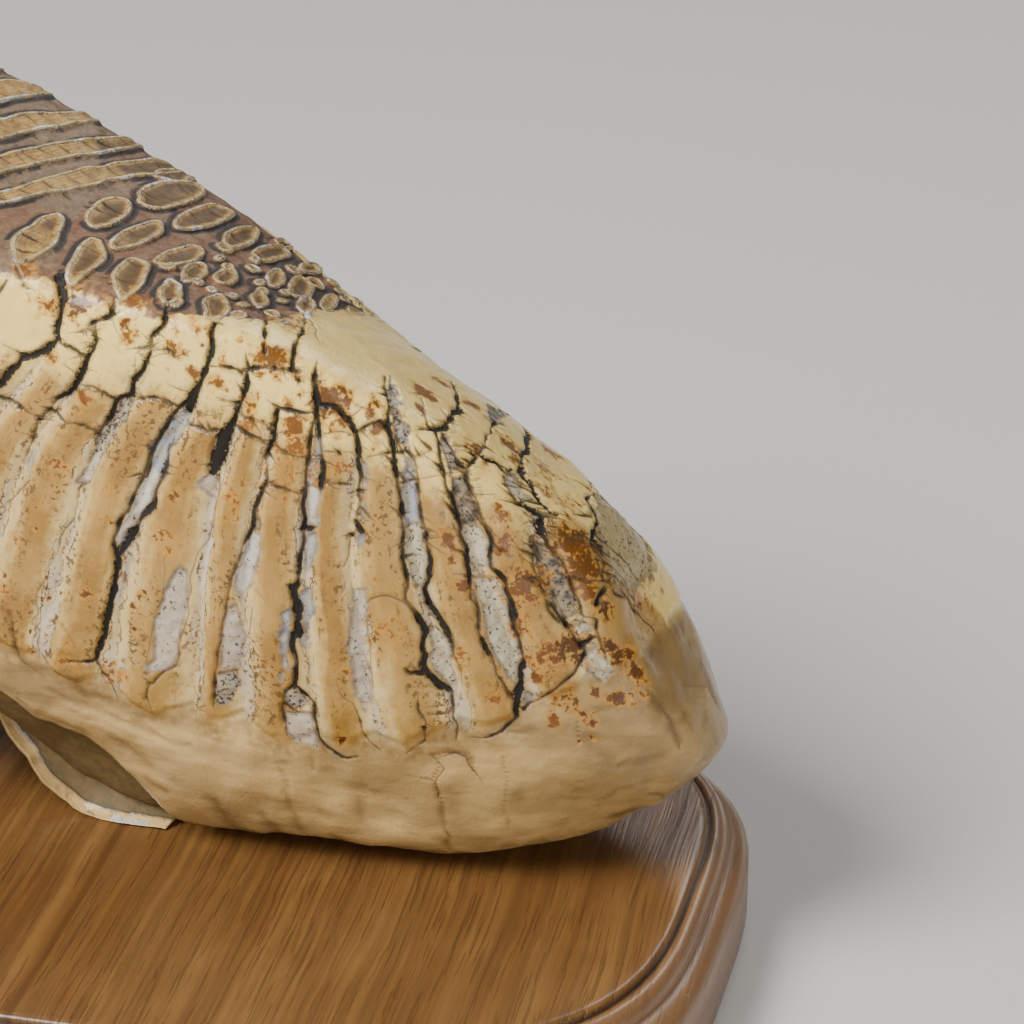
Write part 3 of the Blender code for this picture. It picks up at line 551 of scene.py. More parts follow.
# Mineral fillings of the near side: kind, and the places round its edge
FILLINGS = (
    (Mineral.CLEAR, ((3.89, 36.9), (3.69, 35.9), (3.45, 32.9), (3.3, 28.2), (3.31, 23.9), (3.32, 21.5),
     (3.72, 22.4), (3.67, 26.6), (3.83, 31.2), (3.92, 34.3))),
    (Mineral.MILK, ((3.61, 28.5), (3.39, 27.6), (3.29, 21.7), (3.18, 16.1), (3.06, 11.9), (3.04, 8.7),
     (3.15, 7.1), (3.41, 14.1), (3.6, 17.2), (3.55, 19.3), (3.63, 23.2))),
    (Mineral.SPECKLED, ((2.44, 35.4), (2.38, 31.9), (2.18, 28.2), (2.16, 26), (2.14, 21.5), (2.4, 23.9),
     (2.44, 27.2), (2.63, 31.4), (2.61, 35.4))),
    (Mineral.ROSE, ((2.41, 27.3), (2.24, 25.2), (2.11, 19.4), (2.05, 17), (2.31, 18.8), (2.44, 24.2))),
    (Mineral.ROSE, ((1.14, 24.2), (1.04, 22.3), (0.93, 18.5), (1.17, 15.8), (1.16, 20.2))),
    (Mineral.ROSE, ((4.38, 23.4), (4.57, 26.4), (4.77, 23.8), (4.7, 21.1))),
    (Mineral.ROSE, ((4.43, 6.5), (4.23, 7), (4.1, 3.5), (3.99, -2.4), (3.95, -5.8), (4, -13), (3.91, -18),
     (4.33, -14.1), (4.37, -9.2), (4.43, -1.6))),
    (Mineral.MILK, ((5.61, 17.9), (5.41, 17.2), (5.35, 14.5), (5.21, 9.6), (5.19, 6.6), (5.32, 3.3),
     (5.47, 7.6), (5.53, 11.4), (5.62, 15.1))),
    (Mineral.ROSE, ((5.11, 1.7), (5.03, -3.3), (5, -11.6), (5.32, -9.8), (5.39, -1.9), (5.23, 2.6))),
    (Mineral.SPECKLED, ((4.95, -13.1), (5.29, -10.4), (5.32, -14), (5.14, -19.4), (4.96, -20.4))),
    (Mineral.CHARCOAL, ((5.58, 24.8), (5.45, 21.4), (5.42, 17.6), (5.62, 17.9), (5.63, 20),
     (5.53, 22.3))),
    (Mineral.SPECKLED, ((6.69, 39.5), (6.58, 36.2), (6.51, 30.8), (6.73, 31.6), (6.76, 36.2))),
    (Mineral.MILK, ((6.46, 29.7), (6.73, 29.9), (6.61, 23), (6.41, 22.3))),
    (Mineral.CLEAR, ((6.59, 21.2), (6.4, 20), (6.32, 17.1), (6.32, 12.7), (6.45, 13.5), (6.56, 16.6))),
    (Mineral.CLEAR, ((6.2, 9.3), (6.35, 10.1), (6.32, 5.5), (6.21, 5.5))),
    (Mineral.CLEAR, ((6.21, 9.3), (6.43, 10.2), (6.43, 6.2), (6.32, 1.7), (6.26, -1.3), (6.19, -0.3),
     (6.27, 5.3))),
    (Mineral.CLEAR, ((5.94, 4.4), (6.1, 5.4), (6.14, 1.5), (6.03, -2.2), (6.05, -6.7), (5.94, -10.6),
     (5.89, -9.9))),
    (Mineral.SPECKLED, ((5.94, -11.4), (6.14, -10.3), (6.3, -13.5), (6.18, -15.7), (5.97, -14.9))),
    (Mineral.ROSE, ((5.94, -16.8), (6.32, -15.1), (6.38, -24), (6.05, -23.7), (5.97, -21.2))),
    (Mineral.ROSE, ((7.53, 38.4), (7.65, 38.3), (7.46, 26.4), (7.38, 26.7), (7.5, 33.1))),
    (Mineral.CLEAR, ((7.26, 23.7), (7.47, 24.9), (7.36, 21.1), (7.2, 21.2))),
    (Mineral.ROSE, ((7.05, 12.4), (7.29, 13.3), (7.2, 4.9), (7.13, -3.5), (7.12, -10.3), (7, -12.5),
     (6.9, -9.4), (6.89, -3.5), (6.93, 4))),
    (Mineral.SPECKLED, ((7.32, 61.9), (7.75, 57.3), (8.48, 47), (8.46, 43.1), (8.26, 44.7),
     (8.15, 48.6))),
    (Mineral.CLEAR, ((8.34, 42.6), (8.54, 42.9), (8.5, 37.5), (8.38, 30.6), (8.12, 29.2), (8.18, 36))),
    (Mineral.CREAM, ((8.11, 28.8), (8.4, 30.1), (8.37, 23.5), (8.15, 16.1), (8, 18.5), (8.03, 23.8))),
    (Mineral.CREAM, ((8.05, 7.2), (8.17, 9.8), (8.3, 7.4), (8.26, 0.6), (8.22, -5.4), (8.1, -4.2),
     (8.05, -1.8), (7.93, 1.5))),
    (Mineral.CHARCOAL, ((9.03, 42), (9.28, 43.3), (9.36, 38.9), (9.3, 34.7), (8.98, 31.7),
     (8.98, 36.2))),
    (Mineral.CREAM, ((8.98, 31.7), (9.28, 34.4), (9.38, 30.5), (9.22, 25.4), (8.92, 24), (8.94, 28.2))),
    (Mineral.CREAM, ((8.88, 22), (9.31, 24.4), (9.27, 20.5), (9.2, 16.7), (8.84, 16.2))),
    (Mineral.CREAM, ((8.87, 16.4), (9.3, 20.5), (9.21, 8.4), (9, -0), (8.88, 1.7), (8.78, 9.8))),
    (Mineral.CREAM, ((9.65, 45.7), (9.61, 50.9), (9.97, 41.9), (9.91, 40.5), (9.73, 43.3))),
    (Mineral.CHARCOAL, ((9.92, 33.4), (10.09, 34.8), (10.19, 30.9), (10.22, 25.9), (10.14, 19.4),
     (9.89, 15.8), (9.83, 19.3), (9.8, 24), (9.8, 27.3))),
    (Mineral.CREAM, ((9.93, 16.2), (10.1, 18.4), (10.24, 17.6), (10.02, 12.8), (9.93, 14.3))),
    (Mineral.CREAM, ((10.02, 10.8), (10.18, 13.5), (10.18, 10.3), (10.3, 8.5), (10.05, 4.5),
     (9.9, 7.1))),
    (Mineral.CLEAR, ((9.02, -1.6), (9.13, -0.4), (9.12, -3), (9, -5.2))),
    (Mineral.CHARCOAL, ((7.89, 84.9), (7.79, 93), (7.74, 98.1), (8.61, 74.3), (8.71, 69.8),
     (8.42, 73.8))),
    (Mineral.ROSE, ((8.83, 49.6), (8.88, 50.4), (9.1, 47), (9.22, 44.3), (9.08, 42.5), (8.99, 45.2))),
    (Mineral.KNOB, ((9.84, 67.4), (9.37, 90.9), (9.63, 87.4), (9.93, 82.1), (10.25, 70.5), (10.51, 51.9),
     (10.63, 33.3), (10.63, 24.1), (10.55, 26.6), (10.51, 30.7), (10.39, 40.7), (10.23, 49.5))),
    (Mineral.CLEAR, ((6.63, 38.6), (6.76, 40.7), (6.84, 35.9), (6.7, 31.5), (6.53, 31.3))),
)

# Rust spots of the near side: plate, rise, radius, strength and darkness
RUST_SPOTS = (
    (0.66, 51.4, 2.7, 1, 0.75), (0.84, 52.7, 2.2, 0.6, 0.1), (1.69, 54.4, 1.7, 0.9, 0.35),
     (-0.6, 56.1, 1.6, 0.8, 0.4), (-0.11, 52.6, 2.2, 0.35, 0), (1.85, 49.7, 1, 1, 0.7),
     (2.06, 47, 1.6, 0.6, 0.15), (3.12, 46.5, 1.6, 0.9, 0.35), (3.69, 43.1, 1, 1, 0.5),
     (3.69, 48.5, 0.9, 0.7, 0.4), (3.05, 50.9, 2.6, 0.3, 0), (3.51, 50.8, 2, 0.4, 0.1),
     (4.28, 42.5, 1.2, 0.9, 0.4), (1.73, 33.9, 1.2, 1, 0.5), (0.75, 40.8, 1, 0.7, 0.1),
     (0.79, 35.9, 1.7, 0.35, 0), (4.26, 46.3, 1.1, 0.7, 0.2), (5.38, 49.9, 2.6, 1, 0.5),
     (5.22, 48.7, 2.2, 0.7, 0.2), (5.16, 40.9, 1.6, 0.9, 0.4), (5.21, 37.1, 1.7, 0.7, 0),
     (6.07, 42.7, 1.1, 0.9, 0.5), (6.15, 39.5, 2.4, 0.8, 0.45), (6.27, 36.3, 2.6, 0.7, 0.2),
     (6.83, 45.9, 2.6, 1, 0.75), (7.07, 45.2, 2, 0.9, 0.7), (4.51, 65, 2.6, 0.6, 0.35),
     (5.96, 48.6, 1.7, 0.4, 0.1), (4.42, 51.3, 1.7, 0.4, 0.1), (7.08, 47.7, 1.8, 1, 0.7),
     (6.99, 45.6, 2.1, 0.9, 0.7), (7.19, 43.8, 1.8, 0.8, 0.3), (7.14, 35.9, 1.8, 0.6, 0.1),
     (7.8, 49.5, 1.1, 1, 0.6), (7.81, 47.4, 1.1, 0.9, 0.6), (7.89, 45.3, 1.2, 0.9, 0.6),
     (7.89, 43.1, 1.1, 0.7, 0.3), (7.91, 64.1, 2.1, 1, 0.35), (8.33, 54.6, 1.2, 0.9, 0.45),
     (7.32, 80.2, 1.4, 1, 0.3), (8.61, 47.3, 1.1, 0.5, 0.1), (5.95, 29, 3.2, 0.35, 0),
     (6.22, 31.8, 2.1, 0.4, 0.05), (5.18, 26.8, 1.4, 0.5, 0.5), (5.04, 23.4, 2.1, 0.5, 0.4),
     (5.01, 20, 2.1, 0.4, 0.3), (8.73, 28.6, 1.1, 0.9, 0.6), (8.71, 24.6, 1.1, 0.9, 0.6),
     (7.6, 15.6, 1.1, 0.4, 0.4), (9.03, 65.4, 1.1, 1, 0.65), (9.16, 65.3, 1.6, 1, 0.45),
     (9.39, 58.8, 1.4, 0.9, 0.4), (8.83, 86.5, 2.2, 0.9, 0.2), (9.5, 65.3, 2.9, 0.7, 0.1),
     (9.18, 51.8, 1, 0.8, 0.5), (9.32, 48.6, 1.3, 0.5, 0.2), (9.61, 37.5, 1, 1, 0.35),
     (9.55, 32.1, 1.5, 1, 0.5), (8.73, 29.2, 1, 0.9, 0.5), (8.73, 27.2, 0.8, 0.9, 0.5),
     (8.71, 24.2, 1, 0.8, 0.5), (8.71, 19.4, 1.6, 0.9, 0.6), (9.59, 23.8, 3, 1, 0.6),
     (9.54, 21, 2.2, 0.9, 0.5), (10.31, 34.5, 2.6, 1, 0.65), (10.38, 33.8, 2.6, 0.9, 0.5),
     (10.41, 30, 3.5, 1, 0.6), (10.32, 27.1, 1.9, 0.9, 0.5), (10.37, 25.2, 1.9, 0.9, 0.45),
     (10.22, 42.2, 1.9, 0.6, 0.2), (9.98, 54.5, 1.9, 0.5, 0.2), (10.43, 21.2, 1.9, 1, 0.9),
     (9.97, 48.8, 2.6, 0.6, 0.5), (8.12, 76.1, 1.6, 1, 0.3), (9.82, 11.4, 2.4, 1, 0.85),
     (9.49, 9.1, 1.8, 0.9, 0.6), (9.24, 3, 1.6, 0.9, 0.6), (9.3, 13.4, 2, 0.8, 0.5),
     (9.24, 6.1, 1.2, 0.8, 0.5), (6.83, -4.2, 1.2, 0.7, 0.6), (8.42, 5, 2, 0.5, 0.1),
     (8.67, -3.4, 2, 0.6, 0.3), (7.47, 5.9, 3.7, 0.4, 0.2), (9.57, -1.3, 2.9, 0.6, 0.8),
     (9.28, -6.5, 1.1, 0.9, 0.5), (9.68, -3.4, 0.8, 0.8, 0.8), (6.67, -20.2, 0.7, 1, 1),
     (10.42, 20.6, 1.4, 1, 0.9), (10.34, 13.6, 1.5, 1, 0.9), (10.37, 11.3, 1.4, 1, 0.85),
     (10.52, 12.1, 1.4, 1, 0.85), (10.51, 10.3, 1.2, 1, 0.85), (10.51, 8.2, 1.7, 1, 0.85),
     (10.18, 1.8, 1.5, 0.9, 0.8), (10.34, 3, 1.2, 0.8, 0.8), (10.44, 3.4, 1.2, 0.8, 0.8),
     (9.68, -3.6, 0.7, 0.9, 0.9), (9.73, -5.8, 0.6, 0.9, 0.9), (9.65, -9.1, 0.6, 0.9, 0.9),
     (9.49, -10.7, 0.6, 0.8, 0.8), (9.93, 2.3, 0.9, 0.8, 0.8), (10.67, 29.2, 1.8, 0.7, 0.2),
     (10.63, 37.8, 1.2, 0.7, 0.2), (3.95, 20, 1.1, 0.9, 0.7), (3.85, 11.9, 1.4, 0.9, 0.6),
     (4.02, 9.8, 0.9, 0.6, 0.3), (1.57, 6.9, 0.5, 0.9, 0.9), (1.48, 11, 0.8, 0.6, 0.5),
     (1.1, 2.2, 0.5, 0.8, 0.8), (1.29, 3.3, 0.8, 0.5, 0.5), (1.27, -7.6, 1.1, 0.8, 0.7),
     (1.23, -4.8, 0.7, 0.8, 0.7), (2.73, -3.5, 1.1, 0.8, 0.8), (2.27, -5.5, 0.6, 0.8, 0.8),
     (2.09, -7.2, 0.7, 0.7, 0.7), (3.72, 0, 0.5, 0.9, 0.9), (3.64, -1.6, 0.7, 0.8, 0.7),
     (3.55, -4, 0.5, 0.9, 0.9), (3.64, -8.7, 0.5, 0.9, 0.9), (3.77, -6, 0.5, 0.8, 0.8),
     (4.83, -2.5, 0.5, 0.9, 0.8), (2.89, 12.3, 0.5, 0.8, 0.8), (3.01, 19.6, 0.5, 0.7, 0.8),
     (2.83, 17.8, 1.1, 0.4, 0.2), (2.77, 12.7, 1.5, 0.4, 0.2), (1.61, 20.1, 1.1, 0.7, 0.5),
     (1.79, 19.9, 0.5, 0.8, 0.6), (3.71, 4.9, 1.5, 0.4, 0.3), (2.69, 2.5, 0.9, 0.4, 0.3),
     (1.97, -20.2, 1.5, 0.5, 0.5), (2.64, -19, 1.9, 0.6, 0.4), (3.42, -19.8, 1.9, 0.6, 0.5)
)

# Enamel rings of the worn top's low end: plate, place across, half length, half width, turn
RINGS = (
    (-0.86, 34, 10.3, 4, 92), (-0.97, 17.1, 7.1, 3, 106), (-1.09, -0.2, 10.1, 3.3, 108),
    (0, 33.4, 9.4, 3.3, 97), (-0.11, 14, 8.2, 3.1, 98), (0.85, 33.9, 8.3, 2.9, 104),
    (-0.03, -1.1, 9, 2.9, 118), (0.96, -1.9, 7.9, 3.2, 124), (0.94, 13.7, 7.2, 3.2, 95),
    (1.52, 36.1, 7, 3, 97), (1.64, 8.6, 5.8, 2.5, 113), (2.45, 25.2, 6.3, 2.2, 121),
    (2.98, 27.5, 7.7, 2.8, 119), (2.05, -3.3, 5.7, 2.3, 127), (3.13, -2.9, 7.3, 2.6, 131),
    (3.24, 9.7, 6.4, 1.9, 126), (3.76, 19.2, 7, 2, 123), (3.59, 29.8, 6.4, 1.8, 119),
    (2.08, 13.1, 5.2, 2.3, 112), (2.21, 41.8, 5.4, 2.2, 100), (-1.35, 43.5, 5.5, 2.6, 90),
)


# Soft brown creases of the root and the crown's foot: strength, and places with half width
CREASES = (
    (0.75, ((10.58, 4.8, 0.5), (10.59, 2.1, 0.7), (10.63, -1.9, 0.8), (10.63, -5.1, 0.7), (10.6, -8.6, 0.4))),
    (0.65, ((9.93, -24.7, 0.4), (10.02, -25.7, 0.7), (10.02, -31.3, 0.8), (10.16, -29.5, 0.7), (10.3, -27.3, 0.5))),
    (0.8, ((9.41, -34.4, 1.2), (9.57, -33, 1.5), (9.65, -33.6, 1.3), (9.73, -35.1, 0.8))),
    (0.5, ((9.4, -26.3, 0.3), (9.53, -24.7, 0.45), (9.68, -22.4, 0.4), (9.81, -21.3, 0.3))),
    (0.45, ((9.4, -26.4, 0.3), (9.28, -30.5, 0.4))),
    (0.5, ((9.81, -15.6, 0.7), (10.02, -13.9, 1.2), (10.22, -12.7, 1.5), (10.34, -11.8, 1))),
    (0.4, ((10.11, -9.4, 1.8), (10.26, -9.3, 2.6), (10.34, -11.1, 2))),
    (0.7, ((4.94, -43.5, 0.6), (5.08, -43.9, 1), (5.2, -49.6, 1.1), (5.29, -55.5, 1.4), (5.46, -55, 1.2))),
    (0.8, ((5.65, -45.9, 0.7), (5.71, -49.2, 1.1), (5.77, -53.8, 1.3), (5.89, -53.7, 1))),
    (0.5, ((5.85, -30.2, 0.4), (5.93, -33.9, 0.5), (5.98, -40, 0.6), (6.02, -45.4, 0.6), (6.02, -49.2, 0.6))),
    (0.7, ((6.42, -49.2, 0.7), (6.45, -52, 1.2))),
    (0.6, ((6.82, -51.4, 1), (7, -50.8, 1.4), (7.17, -50.1, 1))),
    (0.5, ((6.26, -26.1, 0.5), (6.31, -29, 0.5))),
    (0.45, ((6.79, -36.1, 0.8), (6.77, -42, 0.8))),
    (0.5, ((5.85, -29.6, 0.8), (5.97, -29.2, 0.8))),
    (0.8, ((7.76, -19.6, 0.3), (7.77, -22.1, 0.25), (7.66, -25.9, 0.3), (7.69, -29.5, 0.4), (7.69, -33.1, 0.5), (7.65, -39.4, 0.5), (7.57, -47.4, 0.5))),
    (0.6, ((7.4, -26.1, 0.2), (7.53, -26, 0.3), (7.66, -25.9, 0.3))),
    (0.8, ((7.76, -19.6, 0.4), (7.93, -18.5, 0.4), (8.13, -18.7, 0.7), (8.14, -20.8, 0.4), (8.18, -22.9, 0.2))),
    (0.5, ((8.51, -17.4, 0.3), (8.52, -20.2, 0.3), (8.46, -25.2, 0.3), (8.36, -32.1, 0.3), (8.32, -36, 0.2))),
    (0.5, ((8.55, -26.3, 1), (8.59, -26.8, 1))),
    (0.6, ((9.56, -6, 0.3), (9.49, -10.9, 0.5))),
    (0.6, ((7.06, -50.6, 1), (7.17, -50.1, 1.2))),
    (0.7, ((7.34, -49.7, 1.2), (7.46, -49.6, 1.4))),
    (0.6, ((7.62, -48.7, 0.9), (7.69, -48.7, 0.9))),
    (0.6, ((8.18, -44.4, 0.8), (8.26, -44.2, 0.9))),
    (0.5, ((7.44, -43, 0.5), (7.65, -42.1, 0.4))),
    (0.55, ((1.75, -26.2, 0.8), (2.01, -25, 1.2), (2.28, -24.7, 0.8))),
    (0.5, ((2.49, -28.2, 0.8), (2.89, -29.4, 0.9), (3.25, -29.8, 0.8), (3.89, -30.8, 0.8), (4.39, -32.2, 0.8), (4.73, -31.3, 0.5))),
    (0.75, ((2, -33.5, 0.8), (2.32, -36.3, 1.2), (2.7, -37.3, 1.4), (3.12, -39, 1.2))),
    (0.6, ((4.2, -44.8, 0.8), (4.42, -45.5, 0.8))),
    (0.65, ((1.26, -11.2, 0.7), (1.44, -12.4, 0.7), (1.63, -16.2, 0.6), (1.75, -21.6, 0.8), (2.12, -24, 1), (2.7, -22.9, 1.1), (3.01, -26.2, 0.8), (3.43, -26.8, 0.7))),
    (0.5, ((1.97, -12.4, 0.4), (2.1, -17, 0.4))),
    (0.6, ((2.55, -18.4, 1), (2.7, -22.9, 0.9), (3.05, -26.6, 0.9))),
    (0.5, ((2.48, -11.4, 0.4), (2.75, -16.1, 0.4))),
    (0.45, ((1.75, -31.4, 1.5), (2.08, -32.5, 1.6), (2.49, -32.8, 1.2))),
    (0.4, ((3.6, -37.4, 1.6), (4.06, -39.4, 1.4), (4.56, -40.8, 1))),
    (0.4, ((6.44, -28.9, 1.6), (6.71, -31.3, 1.8), (6.99, -32.8, 1.2))),
    (0.35, ((7.83, -32.1, 2.2), (7.85, -36.3, 2.6), (7.77, -40.8, 2))),
    (0.4, ((9.61, -9.6, 1.2), (9.66, -12.8, 1.2), (9.77, -14.2, 1))),
    (0.4, ((10.71, 42.1, 1), (10.79, 23.3, 1.2), (10.83, 13.3, 1))),
)

# Borders between the near side's columns, as plates, low down and near the top's edge
COLUMN_NUMBERS = (-12.0, 0.0, 1.0, 2.0, 3.0, 4.0, 5.0, 6.0, 7.0, 8.0, 9.0, 10.0, 12.0)
LOW_BORDERS = (-12.0, -0.1, 0.9, 2.15, 3.35, 4.65, 5.35, 6.35, 7.1, 8.15, 9.1, 9.95, 12.0)
HIGH_BORDERS = (-11.6, 0.6, 1.45, 2.6, 3.95, 4.95, 5.8, 6.65, 7.45, 8.3, 9.1, 9.95, 12.0)

# Line where the near root's lip hangs over the hollow: along-place and height
HOLLOW_LIP = ((-2.0, 57.0), (4.0, 53.0), (8.5, 49.5), (11.0, 46.5), (15.3, 44.6), (20.0, 42.4),
              (24.4, 39.2), (28.8, 34.5), (33.3, 29.3), (38.0, 22.0))


@dataclass(frozen=True)
class Ribbons:
    """Enamel ribbons that cross the worn top, one behind the other."""

    count: int = 9
    first_plate: float = -2.05
    spacing: float = 0.85
    half_width: float = 2.35
    slant: float = 0.016
    near_y: float = -11.0
    far_y: float = 50.0

    def outline(self, index: int, inset: float, noise: Noise) -> np.ndarray:
        """Plate and across-place of the points round one ribbon."""
        across = np.linspace(self.near_y, self.far_y, 60)
        seed = np.stack([across, np.full(60, index * 9.1), np.zeros(60)], axis=-1)
        bend = 0.10 * noise(seed, 14.0) + 0.03 * noise(seed, 3.4)
        curl = 0.0006 * np.minimum(across - 6.0, 0.0) ** 2
        middle = self.first_plate - self.spacing * index + self.slant * (across - 19.0) + bend - curl
        ends = np.sqrt(np.clip(1.0 - ((across - 19.5) / 31.0) ** 8, 0.02, 1.0))
        seed[..., 2] = 40.0
        half = (self.half_width * (1.0 + 0.28 * noise(seed, 6.0)) - inset) * ends / 10.0
        left = np.stack([middle - half, across], axis=-1)
        right = np.stack([middle + half, across], axis=-1)
        return np.concatenate([left, right[::-1]])


def ring_outline(ring: Sequence[float], inset: float, noise: Noise) -> np.ndarray:
    """Plate and across-place of the points round one enamel ring."""
    plate, across, half_length, half_width, turn = ring
    angle = np.linspace(0.0, 2 * math.pi, 36, endpoint=False)
    seed = np.stack([3 * np.cos(angle) + plate * 7, 3 * np.sin(angle) + across, angle * 0], axis=-1)
    swell = 1.0 + 0.20 * noise(seed, 2.1) + 0.05 * noise(seed, 0.9)
    along = (half_length - inset) * np.cos(angle) * swell
    aside = (half_width - inset) * np.sin(angle) * swell
    cos, sin = math.cos(math.radians(turn)), math.sin(math.radians(turn))
    return np.stack([plate + (along * cos - aside * sin) / 10.4, across + along * sin + aside * cos],
                    axis=-1)


class SkinPattern:
    """Everything that varies over the molar's skin, as one value for each grid point."""

    FAR = 9.0

    def __init__(self, grid: SkinGrid) -> None:
        """Marks the skin, from its zones to its cracks."""
        self.grid = grid
        self.form = grid.form
        self.noise = Noise(11)
        self.random = np.random.default_rng(23)
        shape = grid.rise.shape
        self.crack = np.full(shape, self.FAR)
        self.crack_side = np.full(shape, self.FAR)
        self.crack_width = np.full(shape, 0.3)
        self.crease = np.zeros(shape)
        self.mineral = np.full(shape, self.FAR)
        self.tone = np.zeros(shape + (4,))
        self.rust = np.zeros(shape)
        self.rust_dark = np.zeros(shape)
        self.enamel = np.full(shape, self.FAR)
        self.mark_columns()
        self.mark_zones()
        self.mark_fillings(FILLINGS)
        self.mark_cracks([np.array(line, float) for line in CRACKS])
        self.mark_cracks(self.spurs())
        self.mark_creases()
        self.mark_rust()
        self.mark_enamel()
        self.invent_unseen_sides()

    def mark_zones(self) -> None:
        """Marks the crown's foot, the worn face and the depth below the top's edge."""
        points, normals = self.grid.points, self.grid.normals
        x, y, z = points[..., 0], points[..., 1], points[..., 2]
        rough = self.noise(points, 9.0)
        fine = self.noise(points, 3.1)
        scallop = 3.2 * np.abs(np.sin(math.pi * self.column)) ** 0.8
        foot = self.form.crown_foot(x) + 1.8 * rough + 0.9 * fine - scallop
        self.crown = np.clip(z - foot, -30.0, 60.0)
        near_edge = -10.5 + 0.03 * np.maximum(x - 38.0, 0.0) ** 2
        worn = np.minimum(np.minimum(y - near_edge, 50.0 - y), 57.0 - x)
        self.worn = np.clip(worn + 1.3 * rough + 0.5 * fine, -9.0, 9.0)
        self.worn = np.where(normals[..., 2] > 0.5, self.worn, -9.0)
        far_edge = self.form.top_height(x, np.full(x.shape, 46.0))
        near = y < self.form.middle_line(x)
        high = smooth_step((-1.5 - self.grid.plate) / 3.0)[:, None]
        below_edge = 0.8 * (self.form.top_height(x, np.full(x.shape, -9.0)) - z)
        near_depth = (1.0 - high) * (50.0 - self.grid.rise) + high * below_edge
        self.depth = np.clip(np.where(near, near_depth, 0.9 * (far_edge - z)), -9.0, 90.0)
        lip_x, lip_z = np.transpose(HOLLOW_LIP)
        below = np.interp(x, lip_x, lip_z) + 0.7 * fine - z
        aside = np.maximum(np.maximum(lip_x[0] - x, x - lip_x[-1]), np.maximum(y - 13.0, 0.0))
        self.hollow = np.clip(below - 2.0 * np.maximum(aside, 0.0), -9.0, 20.0)

    def mark_columns(self) -> None:
        """Marks the number of the column that each point lies on, with its part as the fraction."""
        plate = np.broadcast_to(self.grid.plate[:, None], self.grid.rise.shape)
        low = np.interp(plate, LOW_BORDERS, COLUMN_NUMBERS)
        high = np.interp(plate, HIGH_BORDERS, COLUMN_NUMBERS)
        share = smooth_step((self.grid.rise - 18.0) / 24.0)
        self.column = low + (high - low) * share + 0.05 * self.noise(self.grid.points, 6.0)

    def window(self, row: int, column: int, rows: int, columns: int) -> tuple[slice, slice]:
        """The grid's part round one of its points."""
        height, width = self.crack.shape
        return (slice(max(row - rows, 0), min(row + rows + 1, height)),
                slice(max(column - columns, 0), min(column + columns + 1, width)))

    def fine_line(self, line: np.ndarray, seed: float) -> tuple[np.ndarray, list]:
        """A line's places close together, with a natural wander, and where they lie on the grid."""
        places = [self.grid.locate(plate, rise)[2] for plate, rise, _ in line]
        gaps = np.linalg.norm(np.diff(places, axis=0), axis=-1)
        marks = np.concatenate([[0.0], np.cumsum(gaps)])
        wanted = np.linspace(0.0, marks[-1], max(int(marks[-1] / 0.9), 2) + 1)
        fine = np.stack([np.interp(wanted, marks, line[:, axis]) for axis in range(3)], axis=-1)
        places = np.stack([wanted, np.full(wanted.shape, seed * 5.3), wanted * 0], axis=-1)
        fine[:, 0] += 0.034 * self.noise(places, 2.4)
        fine[:, 1] += 0.34 * self.noise(places + 50.0, 2.4)
        fine[:, 2] *= 1.0 + 0.5 * self.noise(places + 90.0, 1.7)
        return fine, [self.grid.locate(plate, rise) for plate, rise, _ in fine]

    def mark_cracks(self, lines: Iterable[np.ndarray]) -> None:
        """Marks the distance to each crack's middle, the same with its side's sign, and the width."""
        for number, line in enumerate(lines):
            fine, found = self.fine_line(line, number)
            for index in range(len(found) - 1):
                row, column, start = found[index]
                step = found[index + 1][2] - start
                part = self.window(row, column, 8, 8)
                offset = self.grid.points[part] - start
                t = np.clip(offset @ step / max(float(step @ step), 1e-9), 0.0, 1.0)
                distance = np.linalg.norm(offset - t[..., None] * step, axis=-1)
                side = np.sign(np.cross(step, offset) @ self.grid.normals[row, column])
                width = fine[index, 2] * (1 - t) + fine[index + 1, 2] * t
                nearer = distance - width < self.crack[part] - self.crack_width[part]
                for store, value in ((self.crack, distance), (self.crack_side, distance * side),
                                     (self.crack_width, width)):
                    store[part] = np.where(nearer, value, store[part])

    def spurs(self) -> Iterable[np.ndarray]:
        """Short side cracks that branch off the wide cracks near the top's edge."""
        random = np.random.default_rng(77)
        for line in CRACKS:
            for (plate, rise, width), (after, higher, _) in zip(line, line[1:]):
                if width < 0.24 or max(rise, higher) < 26.0:
                    continue
                for share in random.random(random.integers(1, 4)):
                    place, level = plate + (after - plate) * share, rise + (higher - rise) * share
                    reach = random.choice([-1.0, 1.0]) * random.uniform(0.10, 0.28)
                    lean = random.uniform(-1.8, 1.8)
                    yield np.array([(place, level, 0.34), (place + reach, level + lean, 0.09)])

    def mark_creases(self) -> None:
        """Marks how strongly a soft brown crease colours each point."""
        for number, (strength, places) in enumerate(CREASES):
            fine, found = self.fine_line(np.array(places, float), number + 400.0)
            for (plate, rise, width), (row, column, centre) in zip(fine, found):
                reach = int(width * 6) + 4
                part = self.window(row, column, reach, reach)
                distance = np.linalg.norm(self.grid.points[part] - centre, axis=-1)
                stain = strength * np.exp(-(distance / (1.25 * max(width, 0.2))) ** 2)
                self.crease[part] = np.maximum(self.crease[part], stain)

